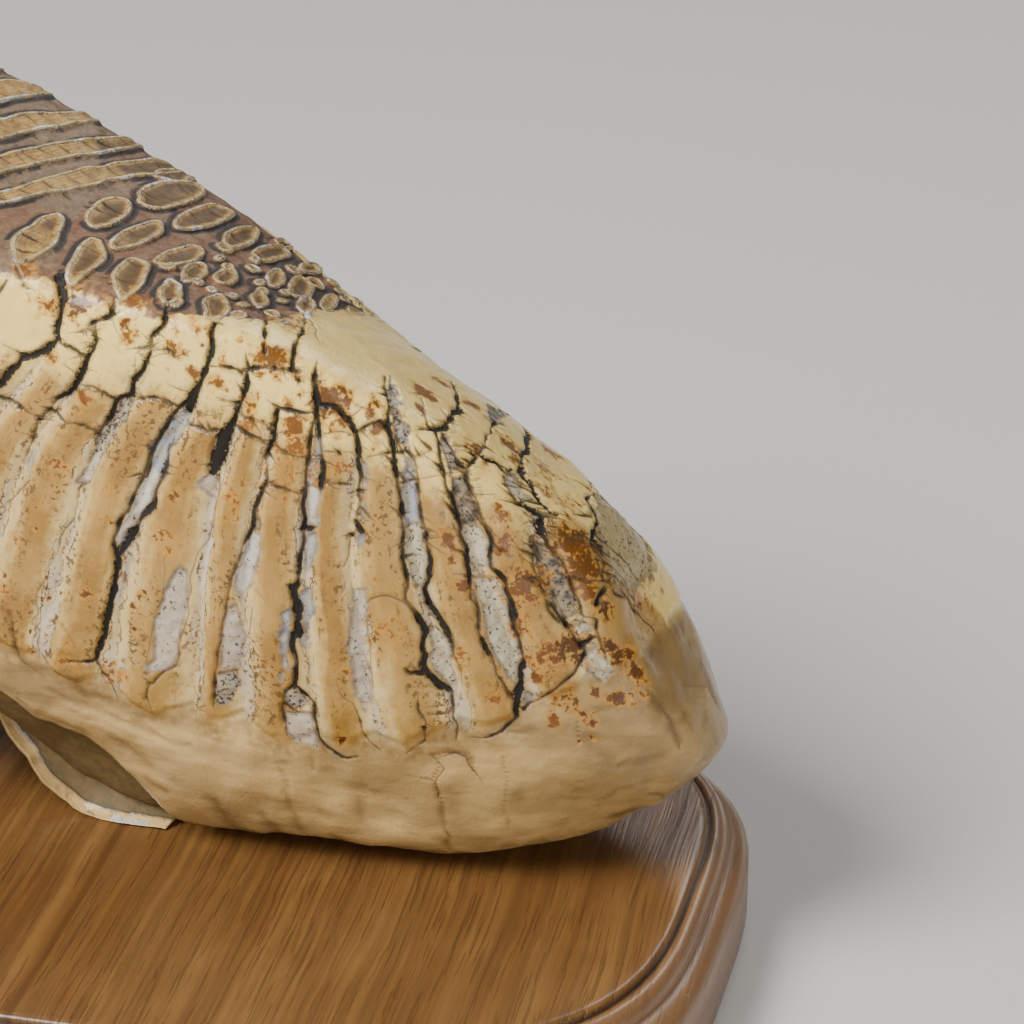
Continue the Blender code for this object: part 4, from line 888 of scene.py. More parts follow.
    def mark_fillings(self, fillings: Iterable[tuple[Mineral, Sequence[Sequence[float]]]]) -> None:
        """Marks the distance to each filling's edge, and the filling's colour."""
        for kind, places in fillings:
            outline = np.array(places, float)
            rows = np.searchsorted(self.grid.plate, [outline[:, 0].min() - 0.25, outline[:, 0].max() + 0.25])
            part = slice(int(rows[0]), int(rows[1]))
            rise = self.grid.rise[part]
            middle = outline.mean(axis=0)
            row, column, _ = self.grid.locate(*middle)
            length = float(self.grid.plate_length[min(row, len(self.grid.plate) - 1), column])
            close = (rise > outline[:, 1].min() - 2) & (rise < outline[:, 1].max() + 2)
            plates = np.broadcast_to(self.grid.plate[part, None], rise.shape)[close]
            near = self.grid.points[part][close]
            shift = 0.55 * self.noise(near, 2.8) + 0.30 * self.noise(near, 1.1)
            distance = signed_distance(plates * length, rise[close], outline * (length, 1.0)) + shift
            nearer = distance < self.mineral[part][close]
            for store, value in ((self.mineral, distance), (self.tone, np.array(kind.value))):
                kept = store[part]
                values = kept[close]
                values[nearer] = value[nearer] if value.shape == distance.shape else value
                kept[close] = values

    def mark_rust(self) -> None:
        """Marks how strongly rust stains each point, and how dark it is."""
        for plate, rise, radius, strength, dark in RUST_SPOTS:
            row, column, centre = self.grid.locate(plate, rise)
            reach = int(radius * 6) + 6
            part = self.window(row, column, reach, reach)
            points = self.grid.points[part]
            distance = np.linalg.norm(points - centre, axis=-1) / (radius * 1.25)
            distance = distance * (1.0 + 0.45 * self.noise(points, 2.2) + 0.3 * self.noise(points, 1.0))
            stain = strength * np.exp(-np.abs(distance) ** 1.7)
            self.rust_dark[part] = np.where(stain > self.rust[part], dark, self.rust_dark[part])
            self.rust[part] = np.maximum(self.rust[part], stain)

    def enamel_outlines(self, inset: float) -> list[np.ndarray]:
        """Plate and across-place of the points round every enamel loop."""
        ribbons = Ribbons()
        loops = [ring_outline(ring, inset, self.noise) for ring in (*RINGS, *self.small_rings())]
        for index in range(ribbons.count):
            outline = ribbons.outline(index, inset, self.noise)
            row = int(np.searchsorted(self.grid.plate, outline[:, 0].mean()))
            across = self.grid.points[row, :, 1][self.worn[row] > 1.5]
            if len(across) > 8 and np.ptp(across) > 30.0:
                share = (outline[:, 1] - ribbons.near_y) / (ribbons.far_y - ribbons.near_y)
                near, far = max(float(across.min()), ribbons.near_y), min(float(across.max()), ribbons.far_y)
                outline[:, 1] = near + share * (far - near)
                loops.append(outline)
        return loops

    def small_rings(self) -> list[tuple[float, ...]]:
        """Small close rings of the low end, kept clear of each other and of the larger ones."""
        random = np.random.default_rng(5)
        taken = [(10.4 * plate, across, length, width) for plate, across, length, width, _ in RINGS]
        rings = []
        for _ in range(900):
            plate, across = random.uniform(1.0, 4.7), random.uniform(-7.0, 45.0)
            length = random.uniform(1.5, 3.4)
            width = length * random.uniform(0.55, 0.95)
            gaps = [math.hypot(10.4 * plate - x, (across - y) * 0.8)
                    - 0.85 * wide - 0.4 * min(wide, long) - length
                    for x, y, long, wide in taken]
            if min(gaps) > 0.2:
                taken.append((10.4 * plate, across, length, width))
                rings.append((plate, across, length, width, random.uniform(85.0, 135.0)))
        return rings[:42]

    def mark_enamel(self) -> None:
        """Marks the distance to the nearest enamel loop, and the cracks across the loops."""
        columns = slice(SECTORS[0].count + SECTORS[1].count - 8,
                        SECTORS[0].count + SECTORS[1].count + SECTORS[2].count + 8)
        rungs = []
        for outline in self.enamel_outlines(0.0):
            ends = np.searchsorted(self.grid.plate, [outline[:, 0].min() - 0.3, outline[:, 0].max() + 0.3])
            part = (slice(int(ends[0]), int(ends[1])), columns)
            y = self.grid.points[part][..., 1]
            plates = np.broadcast_to(self.grid.plate[part[0], None], y.shape)
            scale = float(np.median(self.grid.plate_length[part]))
            distance = signed_distance(plates * scale, y, outline * (scale, 1.0))
            self.enamel[part] = np.minimum(self.enamel[part], distance)
            rungs += self.rungs(outline)
        self.mark_cracks(rungs)

    def rungs(self, outline: np.ndarray) -> list[np.ndarray]:
        """Short cracks across one enamel loop."""
        low, high = outline[:, 1].min() + 1.5, outline[:, 1].max() - 1.5
        lines = []
        y = low + self.random.uniform(0.5, 2.0)
        while y < high:
            level = outline[np.abs(outline[:, 1] - y) < 1.3, 0]
            if len(level) > 1:
                left, right = level.min() - 0.03, level.max() + self.random.choice([0.03, 0.12])
                lean = self.random.uniform(-0.8, 0.8)
                width = self.random.choice([0.16, 0.2, 0.26, 0.34])
                lines.append(np.array([
                    (left, self.grid.rise_across(left, y - lean), width),
                    (right, self.grid.rise_across(right, y + lean), width * 0.7)]))
            y += self.random.uniform(2.2, 5.5)
        return lines

    def invent_unseen_sides(self) -> None:
        """Carries the cracks and fillings on over the parts that no view shows."""
        self.invent_side(range(-9, 0), 122.0, 207.0)
        self.invent_side(range(-9, 10), 61.0, -24.0)
        self.end_at_crown_foot()

    def invent_side(self, plates: Iterable[int], top: float, foot: float) -> None:
        """Cracks and fillings between two rays, at each of the given plates.

        Args:
            plates: the plates whose borders crack.
            top: the ray at the top's edge, in degrees.
            foot: the ray at the crown's foot, in degrees.
        """
        lines, fillings = [], []
        kinds = list(Mineral)[:6]
        for plate in plates:
            levels = np.linspace(0.0, 1.0, 14)
            lean = 0.55 * (1.0 - levels) ** 2 * self.random.uniform(0.4, 1.2)
            wander = np.cumsum(self.random.normal(0.0, 0.035, 14))
            track = plate + lean + wander - wander.mean()
            rises = [self.grid.rise_at(place, top + (foot - top) * level)
                     for place, level in zip(track, levels)]
            weight = self.random.choice([0.18, 0.3, 0.45, 0.7])
            widths = weight * (0.65 + 0.5 * self.random.random(14))
            lines.append(np.stack([track, rises, widths], axis=-1))
            if self.random.random() < 0.62:
                start, stop = sorted(self.random.choice(np.arange(4, 14), 2, replace=False))
                if stop - start > 1:
                    side = self.random.uniform(0.14, 0.26)
                    left = list(zip(track[start:stop + 1], rises[start:stop + 1]))
                    right = [(place + side, rise) for place, rise in left[::-1]]
                    fillings.append((kinds[self.random.integers(6)], left + right))
                    rim = np.array([(place, rise, 0.2) for place, rise in right])
                    lines.append(rim)
            for level in (0.12, 0.27, 0.42):
                if self.random.random() < 0.75:
                    steps = np.linspace(0.0, 1.0, 5)
                    share = level + self.random.uniform(-0.04, 0.04)
                    width = self.random.choice([0.14, 0.22, 0.34, 0.45])
                    here = [self.grid.rise_at(plate + step, top + (foot - top) * (share + 0.04 * step))
                            for step in steps]
                    lines.append(np.stack([track[2] + steps, here, np.full(5, width)], axis=-1))
        self.mark_fillings(fillings)
        self.mark_cracks(lines)

    def end_at_crown_foot(self) -> None:
        """Lets the invented cracks and fillings fade out where the crown ends."""
        unseen = (self.grid.plate[:, None] < -0.5) | (self.grid.points[..., 1] > 22.0)
        past = np.where(unseen, 9.0 * smooth_step((1.0 - self.crown) / 5.0), 0.0)
        self.crack = self.crack + past
        self.mineral = self.mineral + past


@dataclass(frozen=True)
class SkinRelief:
    """How far the molar's skin stands out from its plain form, in millimetres."""

    column: float = 1.4
    ridge: float = 0.45
    lump: float = 0.8
    ledge: float = 0.55
    crack_depth: float = 0.6
    hollow_depth: float = 2.2
    swellings: tuple[tuple[float, ...], ...] = (
        (112.0, 26.0, 84.0, 9.5, 1.2), (122.0, 18.0, 73.5, 8.5, -2.6), (107.8, 38.6, 84.0, 6.0, -1.6),
        (127.0, 18.0, 61.0, 9.0, -1.0), (101.0, 36.0, 92.0, 6.0, 0.9))

    def height(self, grid: SkinGrid, pattern: SkinPattern) -> np.ndarray:
        """Relief at each grid point."""
        points, noise = grid.points, pattern.noise
        x, y, z = points[..., 0], points[..., 1], points[..., 2]
        crown = smooth_step(pattern.crown / 12.0)
        worn = smooth_step(pattern.worn / 2.0)
        groove = np.abs(np.sin(math.pi * pattern.column)) ** 0.7 - 0.75
        below = 0.12 + 0.88 * smooth_step((pattern.depth - 4.0) / 16.0)
        lumps = (np.sin(x / 9.0 + 1.3 * np.sin(z / 11.0)) * np.sin(z / 8.0 + y / 13.0 + 0.7)
                 + 0.5 * np.sin(x / 17.0 - y / 7.0))
        height = self.column * groove * crown * below * (1.0 - worn)
        height += self.lump * lumps * (1.0 - 0.6 * crown) * (1.0 - worn)
        height += self.ledge * (smooth_step((pattern.crown + 0.5) / 2.2) - 1.0)
        height += 0.22 * noise(points, 7.0) + 0.10 * noise(points, 2.6)
        height += 0.5 * noise(points * (1.0, 1.0, 0.45), 5.0) * (1.0 - crown)
        height += worn * self.worn_height(points, pattern)
        deep = smooth_step((0.25 - pattern.crack + pattern.crack_width) / 0.75)
        deep = deep * smooth_step(pattern.crack_width / 0.4)
        height -= self.hollow_depth * (smooth_step(pattern.hollow / 2.5)
                                       - smooth_step((pattern.hollow - 7.0) / 10.0))
        height -= 0.30 * pattern.crease
        for *centre, radius, rise in self.swellings:
            away = np.linalg.norm(points - centre, axis=-1)
            height += rise * np.exp(-(away / radius) ** 2)
        height -= self.crack_depth * deep * np.where(pattern.worn > 0, 0.35, 1.0)
        filled = smooth_step((0.2 - pattern.mineral) / 0.7)
        height -= filled * (0.32 + 0.22 * noise(points, 1.3)) * (1.0 - worn)
        return height - 0.15 * pattern.rust

    def worn_height(self, points: np.ndarray, pattern: SkinPattern) -> np.ndarray:
        """Relief of the worn face: enamel proud, dentine hollow and cement low."""
        enamel = pattern.enamel
        dentine = -0.30 * smooth_step((-0.7 - enamel) / 0.9) + 0.12 * pattern.noise(points, 1.7)
        cement = -0.55 * smooth_step(enamel / 0.5) + 0.20 * pattern.noise(points, 2.3)
        return self.ridge + np.where(enamel < 0, dentine, cement)


def dressed_mesh(name: str, places: np.ndarray, corners: np.ndarray, starts: np.ndarray,
                 normals: Optional[np.ndarray], values: dict[str, np.ndarray]) -> bpy.types.Object:
    """A smooth mesh object that carries values for its finish.

    Args:
        name: the piece's name.
        places: the points, in metres.
        corners: the point numbers round every face, one face after the other.
        starts: where each face starts in corners.
        normals: the direction that light sees at each point, or none for the faces' own.
        values: attribute values for each point, by attribute name.

    Returns:
        The new object.
    """
    mesh = bpy.data.meshes.new(name)
    mesh.vertices.add(len(places))
    mesh.vertices.foreach_set("co", places.ravel())
    mesh.loops.add(len(corners))
    mesh.loops.foreach_set("vertex_index", corners)
    mesh.polygons.add(len(starts))
    mesh.polygons.foreach_set("loop_start", starts)
    mesh.update(calc_edges=True)
    for label, flat in values.items():
        kind, field = ("FLOAT_COLOR", "color") if flat.ndim == 2 else ("FLOAT", "value")
        mesh.attributes.new(label, kind, "POINT").data.foreach_set(field, flat.ravel())
    mesh.shade_smooth()
    if normals is not None:
        mesh.normals_split_custom_set_from_vertices(normals)
    piece = bpy.data.objects.new(name, mesh)
    bpy.context.scene.collection.objects.link(piece)
    return piece


def skin_strip(name: str, points: np.ndarray, normals: np.ndarray, tips: Sequence[np.ndarray],
               values: dict[str, np.ndarray]) -> bpy.types.Object:
    """One strip of the molar's skin, closed by fans to the molar's two end points."""
    rows, columns = points.shape[:2]
    index = np.arange(rows * columns).reshape(rows, columns)
    quads = np.stack([index[:-1, :-1], index[:-1, 1:], index[1:, 1:], index[1:, :-1]], axis=-1)
    fans = []
    for tip, line in ((rows * columns, index[0, ::-1]), (rows * columns + 1, index[-1])):
        fans.append(np.stack([np.full(columns - 1, tip), line[:-1], line[1:]], axis=-1))
    corners = np.concatenate([quads.ravel(), fans[0].ravel(), fans[1].ravel()])
    starts = np.concatenate([np.arange(quads.size // 4) * 4,
                             quads.size + np.arange(2 * (columns - 1)) * 3])
    flat = {}
    for label, grid in values.items():
        rest = grid.reshape(rows * columns, *grid.shape[2:])
        flat[label] = np.concatenate([rest, rest[:1], rest[-1:]])
    ends = np.array([normals[0].mean(axis=0), normals[-1].mean(axis=0)])
    return dressed_mesh(name, np.concatenate([points.reshape(-1, 3), tips]), corners, starts,
                        np.concatenate([normals.reshape(-1, 3), ends]), flat)


class Graph:
    """Short calls that add shader nodes to one tree."""

    def __init__(self, tree: bpy.types.NodeTree) -> None:
        """Keeps the tree that the nodes go into."""
        self.tree = tree

    def node(self, kind: str, inputs: Optional[dict] = None, **settings: object) -> bpy.types.Node:
        """Adds a node.

        Args:
            kind: the node's type name.
            inputs: values or sockets, by input name or number.
            settings: the node's own settings.

        Returns:
            The new node.
        """
        made = self.tree.nodes.new(kind)
        for name, value in settings.items():
            setattr(made, name, value)
        for name, value in (inputs or {}).items():
            socket = made.inputs[name]
            if isinstance(value, bpy.types.NodeSocket):
                self.tree.links.new(value, socket)
            elif isinstance(value, tuple) and socket.type == "RGBA":
                socket.default_value = (*value, 1.0)
            else:
                socket.default_value = value
        return made

    def math(self, operation: str, a: Socket, b: Socket = 0.0) -> bpy.types.NodeSocket:
        """The result of one sum on numbers."""
        return self.node("ShaderNodeMath", {0: a, 1: b}, operation=operation).outputs[0]

    def mix(self, share: Socket, a: Socket, b: Socket) -> bpy.types.NodeSocket:
        """Colour a mixed with b by share."""
        made = self.node("ShaderNodeMix", {0: share, 6: a, 7: b}, data_type="RGBA")
        return made.outputs[2]

    def step(self, value: Socket, start: float, end: float) -> bpy.types.NodeSocket:
        """From 0 to 1, level at its ends, while value goes from start to end."""
        made = self.node("ShaderNodeMapRange", {"Value": value, "From Min": start, "From Max": end},
                         interpolation_type="SMOOTHSTEP")
        return made.outputs[0]

    def value(self, name: str) -> bpy.types.NodeSocket:
        """A number that the mesh carries."""
        return self.node("ShaderNodeAttribute", attribute_name=name).outputs["Fac"]

    def group(self, tree: bpy.types.NodeTree, inputs: dict) -> bpy.types.NodeSocket:
        """The first output of a shared group."""
        made = self.node("ShaderNodeGroup", node_tree=tree)
        for name, value in inputs.items():
            if isinstance(value, bpy.types.NodeSocket):
                self.tree.links.new(value, made.inputs[name])
            else:
                made.inputs[name].default_value = value
        return made.outputs[0]

    def place(self) -> bpy.types.NodeSocket:
        """Object coordinates in millimetres."""
        coordinates = self.node("ShaderNodeTexCoord").outputs["Object"]
        made = self.node("ShaderNodeVectorMath", {0: coordinates, "Scale": 1000.0}, operation="SCALE")
        return made.outputs[0]


class Effects:
    """Effects that several finishes share, each a node group that puts out one mask."""

    def __init__(self) -> None:
        """Builds the groups."""
        self.mottle = self.made("mottle", {"Size": 10.0, "Low": 0.4, "High": 0.6}, self.fill_mottle)
        self.grains = self.made("grains", {"Size": 1.0, "Share": 0.3}, self.fill_grains)
        self.ragged = self.made("ragged_edge", {"Distance": 0.0, "Size": 0.6, "Roughness": 0.3,
                                                "Softness": 0.12}, self.fill_ragged)

    def made(self, name: str, sizes: dict[str, float],
             fill: Callable[[Graph, bpy.types.Node], bpy.types.NodeSocket]) -> bpy.types.NodeTree:
        """Builds one group.

        Args:
            name: the group's name.
            sizes: its number inputs with their default values.
            fill: makes the nodes between the inputs and the mask.

        Returns:
            The new group.
        """
        tree = bpy.data.node_groups.new(name, "ShaderNodeTree")
        tree.interface.new_socket(name="Place", in_out="INPUT", socket_type="NodeSocketVector")
        for label, value in sizes.items():
            socket = tree.interface.new_socket(name=label, in_out="INPUT", socket_type="NodeSocketFloat")
            socket.default_value = value
        tree.interface.new_socket(name="Mask", in_out="OUTPUT", socket_type="NodeSocketFloat")
        graph = Graph(tree)
        source = graph.node("NodeGroupInput")
        mask = fill(graph, source)
        graph.node("NodeGroupOutput", {"Mask": mask})
        return tree

    def fill_mottle(self, graph: Graph, source: bpy.types.Node) -> bpy.types.NodeSocket:
        """Soft patches of about the given size."""
        scale = graph.math("DIVIDE", 1.0, source.outputs["Size"])
        noise = graph.node("ShaderNodeTexNoise", {"Vector": source.outputs["Place"], "Scale": scale,
                                                  "Detail": 3.0, "Roughness": 0.58})
        made = graph.node("ShaderNodeMapRange", {
            "Value": noise.outputs[0], "From Min": source.outputs["Low"],
            "From Max": source.outputs["High"]}, interpolation_type="SMOOTHSTEP")
        return made.outputs[0]

    def fill_grains(self, graph: Graph, source: bpy.types.Node) -> bpy.types.NodeSocket:
        """Small irregular dark grains that cover the given share."""
        scale = graph.math("DIVIDE", 1.0, source.outputs["Size"])
        noise = graph.node("ShaderNodeTexNoise", {"Vector": source.outputs["Place"], "Scale": scale,
                                                  "Detail": 2.0, "Roughness": 0.7})
        level = graph.math("SUBTRACT", 0.72, graph.math("MULTIPLY", source.outputs["Share"], 0.3))
        over = graph.math("SUBTRACT", noise.outputs[0], level)
        return graph.step(over, -0.02, 0.03)

    def fill_ragged(self, graph: Graph, source: bpy.types.Node) -> bpy.types.NodeSocket:
        """Inside of a distance below zero, with a ragged edge."""
        scale = graph.math("DIVIDE", 1.0, source.outputs["Size"])
        noise = graph.node("ShaderNodeTexNoise", {"Vector": source.outputs["Place"], "Scale": scale,
                                                  "Detail": 2.0})
        centred = graph.math("SUBTRACT", noise.outputs[0], 0.5)
        shift = graph.math("MULTIPLY", centred, source.outputs["Roughness"])
        moved = graph.math("ADD", source.outputs["Distance"], shift)
        share = graph.math("DIVIDE", moved, source.outputs["Softness"])
        return graph.math("SUBTRACT", 1.0, graph.step(share, -1.0, 1.0))


@dataclass(frozen=True)
class Finish:
    """What every finish is made with: its name and its gloss."""

    name: str
    coat: float
    coat_roughness: float
    specular: float = 0.5

    def begin(self) -> tuple[bpy.types.Material, Graph, bpy.types.Node]:
        """A new material, its graph and its shader with the fixed values set."""
        material = bpy.data.materials.new(self.name)
        material.use_nodes = True
        graph = Graph(material.node_tree)
        shader = material.node_tree.nodes["Principled BSDF"]
        shader.inputs["Metallic"].default_value = 0.0
        shader.inputs["Specular IOR Level"].default_value = self.specular
        shader.inputs["Coat Weight"].default_value = self.coat
        shader.inputs["Coat Roughness"].default_value = self.coat_roughness
        return material, graph, shader

    def dress(self, graph: Graph, shader: bpy.types.Node, colour: bpy.types.NodeSocket,
              roughness: bpy.types.NodeSocket, height: bpy.types.NodeSocket, depth: float) -> None:
        """Feeds colour, roughness and a bump of the given depth in metres to the shader."""
        graph.tree.links.new(colour, shader.inputs["Base Color"])
        graph.tree.links.new(roughness, shader.inputs["Roughness"])
        bump = graph.node("ShaderNodeBump", {"Height": height, "Distance": depth, "Strength": 1.0})
        graph.tree.links.new(bump.outputs[0], shader.inputs["Normal"])


@dataclass(frozen=True)
class ToothFinish(Finish):
    """Polished fossil ivory: crown and roots, and where asked the worn face too."""

    worn_face: bool = False
    cream: Colour = (0.95, 0.69, 0.21)
    ochre_cream: Colour = (0.78, 0.43, 0.085)
    honey: Colour = (0.50, 0.298, 0.078)
    tan: Colour = (0.32, 0.160, 0.028)
    pale_rim: Colour = (0.66, 0.475, 0.195)
    crust: Colour = (0.56, 0.46, 0.345)
    root: Colour = (0.20, 0.118, 0.040)
    root_pale: Colour = (0.72, 0.475, 0.180)
    root_brown: Colour = (0.115, 0.058, 0.016)
    hollow_green: Colour = (0.105, 0.072, 0.024)
    crack_black: Colour = (0.010, 0.008, 0.006)
    crack_brown: Colour = (0.11, 0.060, 0.022)
    ochre: Colour = (0.56, 0.255, 0.034)
    rust_orange: Colour = (0.25, 0.082, 0.010)
    rust_brown: Colour = (0.040, 0.012, 0.004)
    dentine: Colour = (0.33, 0.178, 0.045)
    dentine_light: Colour = (0.56, 0.350, 0.105)
    cement_grey: Colour = (0.185, 0.120, 0.066)
    cement_pale: Colour = (0.31, 0.210, 0.120)
    cement_red: Colour = (0.185, 0.072, 0.030)
    slate: Colour = (0.020, 0.021, 0.024)

    def made(self, effects: Effects) -> bpy.types.Material:
        """Builds the material."""
        material, graph, shader = self.begin()
        place = graph.place()
        along = graph.node("ShaderNodeCombineXYZ", {
            "X": graph.math("MULTIPLY", graph.value("column"), 10.4),
            "Y": graph.math("MULTIPLY", graph.value("rise"), 0.13)}).outputs[0]
        broad = graph.group(effects.mottle, {"Place": place, "Size": 13.0, "Low": 0.38, "High": 0.62})
        cloud = graph.group(effects.mottle, {"Place": place, "Size": 1.9, "Low": 0.30, "High": 0.70})
        fine = graph.group(effects.mottle, {"Place": place, "Size": 0.85, "Low": 0.3, "High": 0.7})
        colour = self.crown_colour(graph, effects, along, broad, cloud)
        colour = self.root_colour(graph, effects, place, colour, cloud)
        colour = self.specked(graph, effects, place, along, colour)
        if self.worn_face:
            worn = graph.group(effects.ragged, {"Place": place, "Distance": graph.math(
                "MULTIPLY", graph.value("worn"), -1.0), "Size": 1.4, "Roughness": 2.2, "Softness": 0.4})
            border = graph.math("MULTIPLY", graph.step(graph.value("worn"), -3.4, 0.2), cloud)
            colour = graph.mix(graph.math("MULTIPLY", border, 0.85), colour, self.ochre)
            top = self.worn_colour(graph, place, broad, cloud, fine)
            colour = graph.mix(worn, colour, top)
        colour, grains = self.stained(graph, effects, place, colour, cloud, fine)
        far, width = graph.value("crack"), graph.math("MULTIPLY", graph.value("crack_width"), 0.80)
        side = graph.math("ABSOLUTE", graph.value("crack_side"))
        apart = graph.math("MULTIPLY", graph.math("MAXIMUM", graph.math("SUBTRACT", far, 0.5), 0.0), 3.0)
        edge = graph.math("SUBTRACT", graph.math("MINIMUM", far, graph.math("ADD", side, apart)), width)
        crack = graph.group(effects.ragged, {
            "Place": place, "Distance": edge, "Size": 0.8,
            "Roughness": graph.math("MULTIPLY", width, 1.9), "Softness": 0.16})
        weight = graph.step(width, 0.10, 0.40)
        halo = graph.math("MULTIPLY", graph.step(edge, 1.1, -0.1), graph.math("MULTIPLY", weight, 0.50))
        colour = graph.mix(halo, colour, self.crack_brown)
        black = graph.mix(weight, self.crack_brown, self.crack_black)
        seen = graph.math("MULTIPLY", crack, graph.math("ADD", graph.math("MULTIPLY", weight, 0.30), 0.68))
        colour = graph.mix(seen, colour, black)
        if self.worn_face:
            grains = graph.math("MAXIMUM", grains, worn)
        matt = graph.math("MAXIMUM", graph.math("MULTIPLY", crack, weight), graph.math(
            "MAXIMUM", graph.math("MULTIPLY", grains, 0.85), graph.step(graph.value("hollow"), 0.0, 3.0)))
        roughness = graph.math("ADD", graph.math("MULTIPLY", matt, 0.35), graph.math(
            "MULTIPLY", broad, 0.08))
        roughness = graph.math("ADD", roughness, 0.24)
        gloss = graph.math("MULTIPLY", graph.math("SUBTRACT", 1.0, matt), self.coat)
        graph.tree.links.new(gloss, shader.inputs["Coat Weight"])
        height = graph.math("SUBTRACT", graph.math("MULTIPLY", fine, 0.20), graph.math(
            "MULTIPLY", graph.step(edge, 0.25, -0.2), weight))
        self.dress(graph, shader, colour, roughness, height, 0.0002)
        return material

    def crown_colour(self, graph: Graph, effects: Effects, along: Socket, broad: Socket,
                     cloud: Socket) -> bpy.types.NodeSocket:
        """Cream near the top's edge, and below it tan columns with paler rims."""
        sway = graph.math("MULTIPLY", graph.math("SUBTRACT", cloud, 0.5), 0.085)
        part = graph.math("FRACT", graph.math("ADD", graph.value("column"), sway))
        middle = graph.math("ABSOLUTE", graph.math("SUBTRACT", part, 0.5))
        streak = graph.group(effects.mottle, {"Place": along, "Size": 2.1, "Low": 0.32, "High": 0.68})
        core = graph.step(graph.math("SUBTRACT", middle, graph.math("MULTIPLY", streak, 0.13)), 0.38, 0.14)
        column = graph.mix(core, self.pale_rim, self.honey)
        heart = graph.step(graph.math("SUBTRACT", middle, graph.math("MULTIPLY", streak, 0.16)), 0.20, 0.0)
        heart = graph.math("MULTIPLY", heart, graph.math("ADD", graph.math("MULTIPLY", broad, 0.55), 0.40))
        column = graph.mix(heart, column, self.tan)
        strip = graph.group(effects.mottle, {"Place": along, "Size": 5.2, "Low": 0.47, "High": 0.53})
        rag = graph.math("ADD", middle, graph.math("MULTIPLY", streak, 0.10))
        crust = graph.math("MULTIPLY", strip, graph.step(rag, 0.420, 0.445))
        column = graph.mix(graph.math("MULTIPLY", crust, 0.75), column, self.crust)
        lip = graph.step(graph.math("ABSOLUTE", graph.math("SUBTRACT", rag, 0.425)), 0.016, 0.004)
        column = graph.mix(graph.math("MULTIPLY", lip, strip), column, self.root_brown)
        seam = graph.math("MULTIPLY", graph.step(middle, 0.480, 0.496), graph.step(streak, 0.25, 0.60))
        column = graph.mix(graph.math("MULTIPLY", seam, 0.75), column, self.root_brown)
        warm = graph.math("MULTIPLY", broad, cloud)
        cream = graph.mix(graph.math("MULTIPLY", warm, 0.50), self.cream, self.ochre_cream)
        uneven = graph.math("ADD", graph.math("MULTIPLY", cloud, 3.0), graph.math("MULTIPLY", broad, 4.0))
        depth = graph.math("SUBTRACT", graph.value("depth"), uneven)
        return graph.mix(graph.step(depth, 4.0, 13.0), cream, column)

    def root_colour(self, graph: Graph, effects: Effects, place: Socket, crown: Socket,
                    cloud: Socket) -> bpy.types.NodeSocket:
        """Smooth tan root with soft brown streaks, with painted shade darkening it towards its ends, and a dull
        green hollow under its lip with painted shade just below the lip.
        """
        flat = graph.node("ShaderNodeVectorMath", {0: place, 1: (0.30, 0.7, 1.0)},
                          operation="MULTIPLY").outputs[0]
        pale = graph.group(effects.mottle, {"Place": flat, "Size": 9.0, "Low": 0.40, "High": 0.66})
        brown = graph.group(effects.mottle, {"Place": flat, "Size": 3.4, "Low": 0.52, "High": 0.80})
        axes = graph.node("ShaderNodeSeparateXYZ", {0: place}).outputs
        # Painted shade: the root's pale share falls off towards the high end, where the root lies out of the light,
        # and falls again towards the low end's tip.
        near = graph.math("MULTIPLY", graph.step(axes[0], -38.0, 34.0), graph.math(
            "ADD", graph.math("MULTIPLY", graph.step(axes[0], 124.0, 88.0), 0.6), 0.4))
        pale = graph.math("MULTIPLY", graph.math("ADD", graph.math("MULTIPLY", pale, 0.6), 0.4), near)
        root = graph.mix(pale, self.root, self.root_pale)
        root = graph.mix(graph.math("MULTIPLY", brown, 0.55), root, self.root_brown)
        under = graph.math("MULTIPLY", graph.step(graph.value("crown"), -7.0, -1.0), cloud)
        root = graph.mix(graph.math("MULTIPLY", under, 0.60), root, self.root_brown)
        drip = graph.node("ShaderNodeVectorMath", {0: place, 1: (1.0, 1.0, 0.25)},
                          operation="MULTIPLY").outputs[0]
        drip = graph.group(effects.mottle, {"Place": drip, "Size": 2.4, "Low": 0.50, "High": 0.66})
        drip = graph.math("MULTIPLY", drip, graph.step(axes[2], 27.0, 21.5))
        root = graph.mix(graph.math("MULTIPLY", drip, 0.70), root, self.root_brown)
        colour = graph.mix(graph.step(graph.value("crown"), -3.0, 2.0), root, crown)
        colour = graph.mix(graph.math("MULTIPLY", graph.value("crease"), 0.85), colour, self.root_brown)
        hollow = graph.value("hollow")
        green = graph.mix(graph.math("MULTIPLY", cloud, 0.55), self.hollow_green, self.root)
        # Painted shade: near-black just below the overhanging lip, fading out into the green hollow.
        green = graph.mix(graph.math("MULTIPLY", graph.step(hollow, 6.0, 0.8), 0.85), green,
                          (0.030, 0.018, 0.007))
        return graph.mix(graph.step(hollow, -0.5, 0.7), colour, green)

    def specked(self, graph: Graph, effects: Effects, place: Socket, along: Socket,
                colour: Socket) -> bpy.types.NodeSocket:
        """Clusters of fine brown specks, longer down the columns than across them."""
        speck = graph.group(effects.grains, {"Place": place, "Size": 1.15, "Share": 0.55})
        area = graph.group(effects.mottle, {"Place": along, "Size": 2.6, "Low": 0.45, "High": 0.60})
        area = graph.math("MULTIPLY", area, graph.step(graph.value("crown"), -2.0, 3.0))
        area = graph.math("MULTIPLY", area, graph.step(graph.value("depth"), 6.0, 16.0))
        share = graph.math("MULTIPLY", graph.math("MULTIPLY", speck, area), 0.85)
        tinted = graph.mix(graph.math("MULTIPLY", area, 0.16), colour, self.tan)
        return graph.mix(share, tinted, self.root_brown)

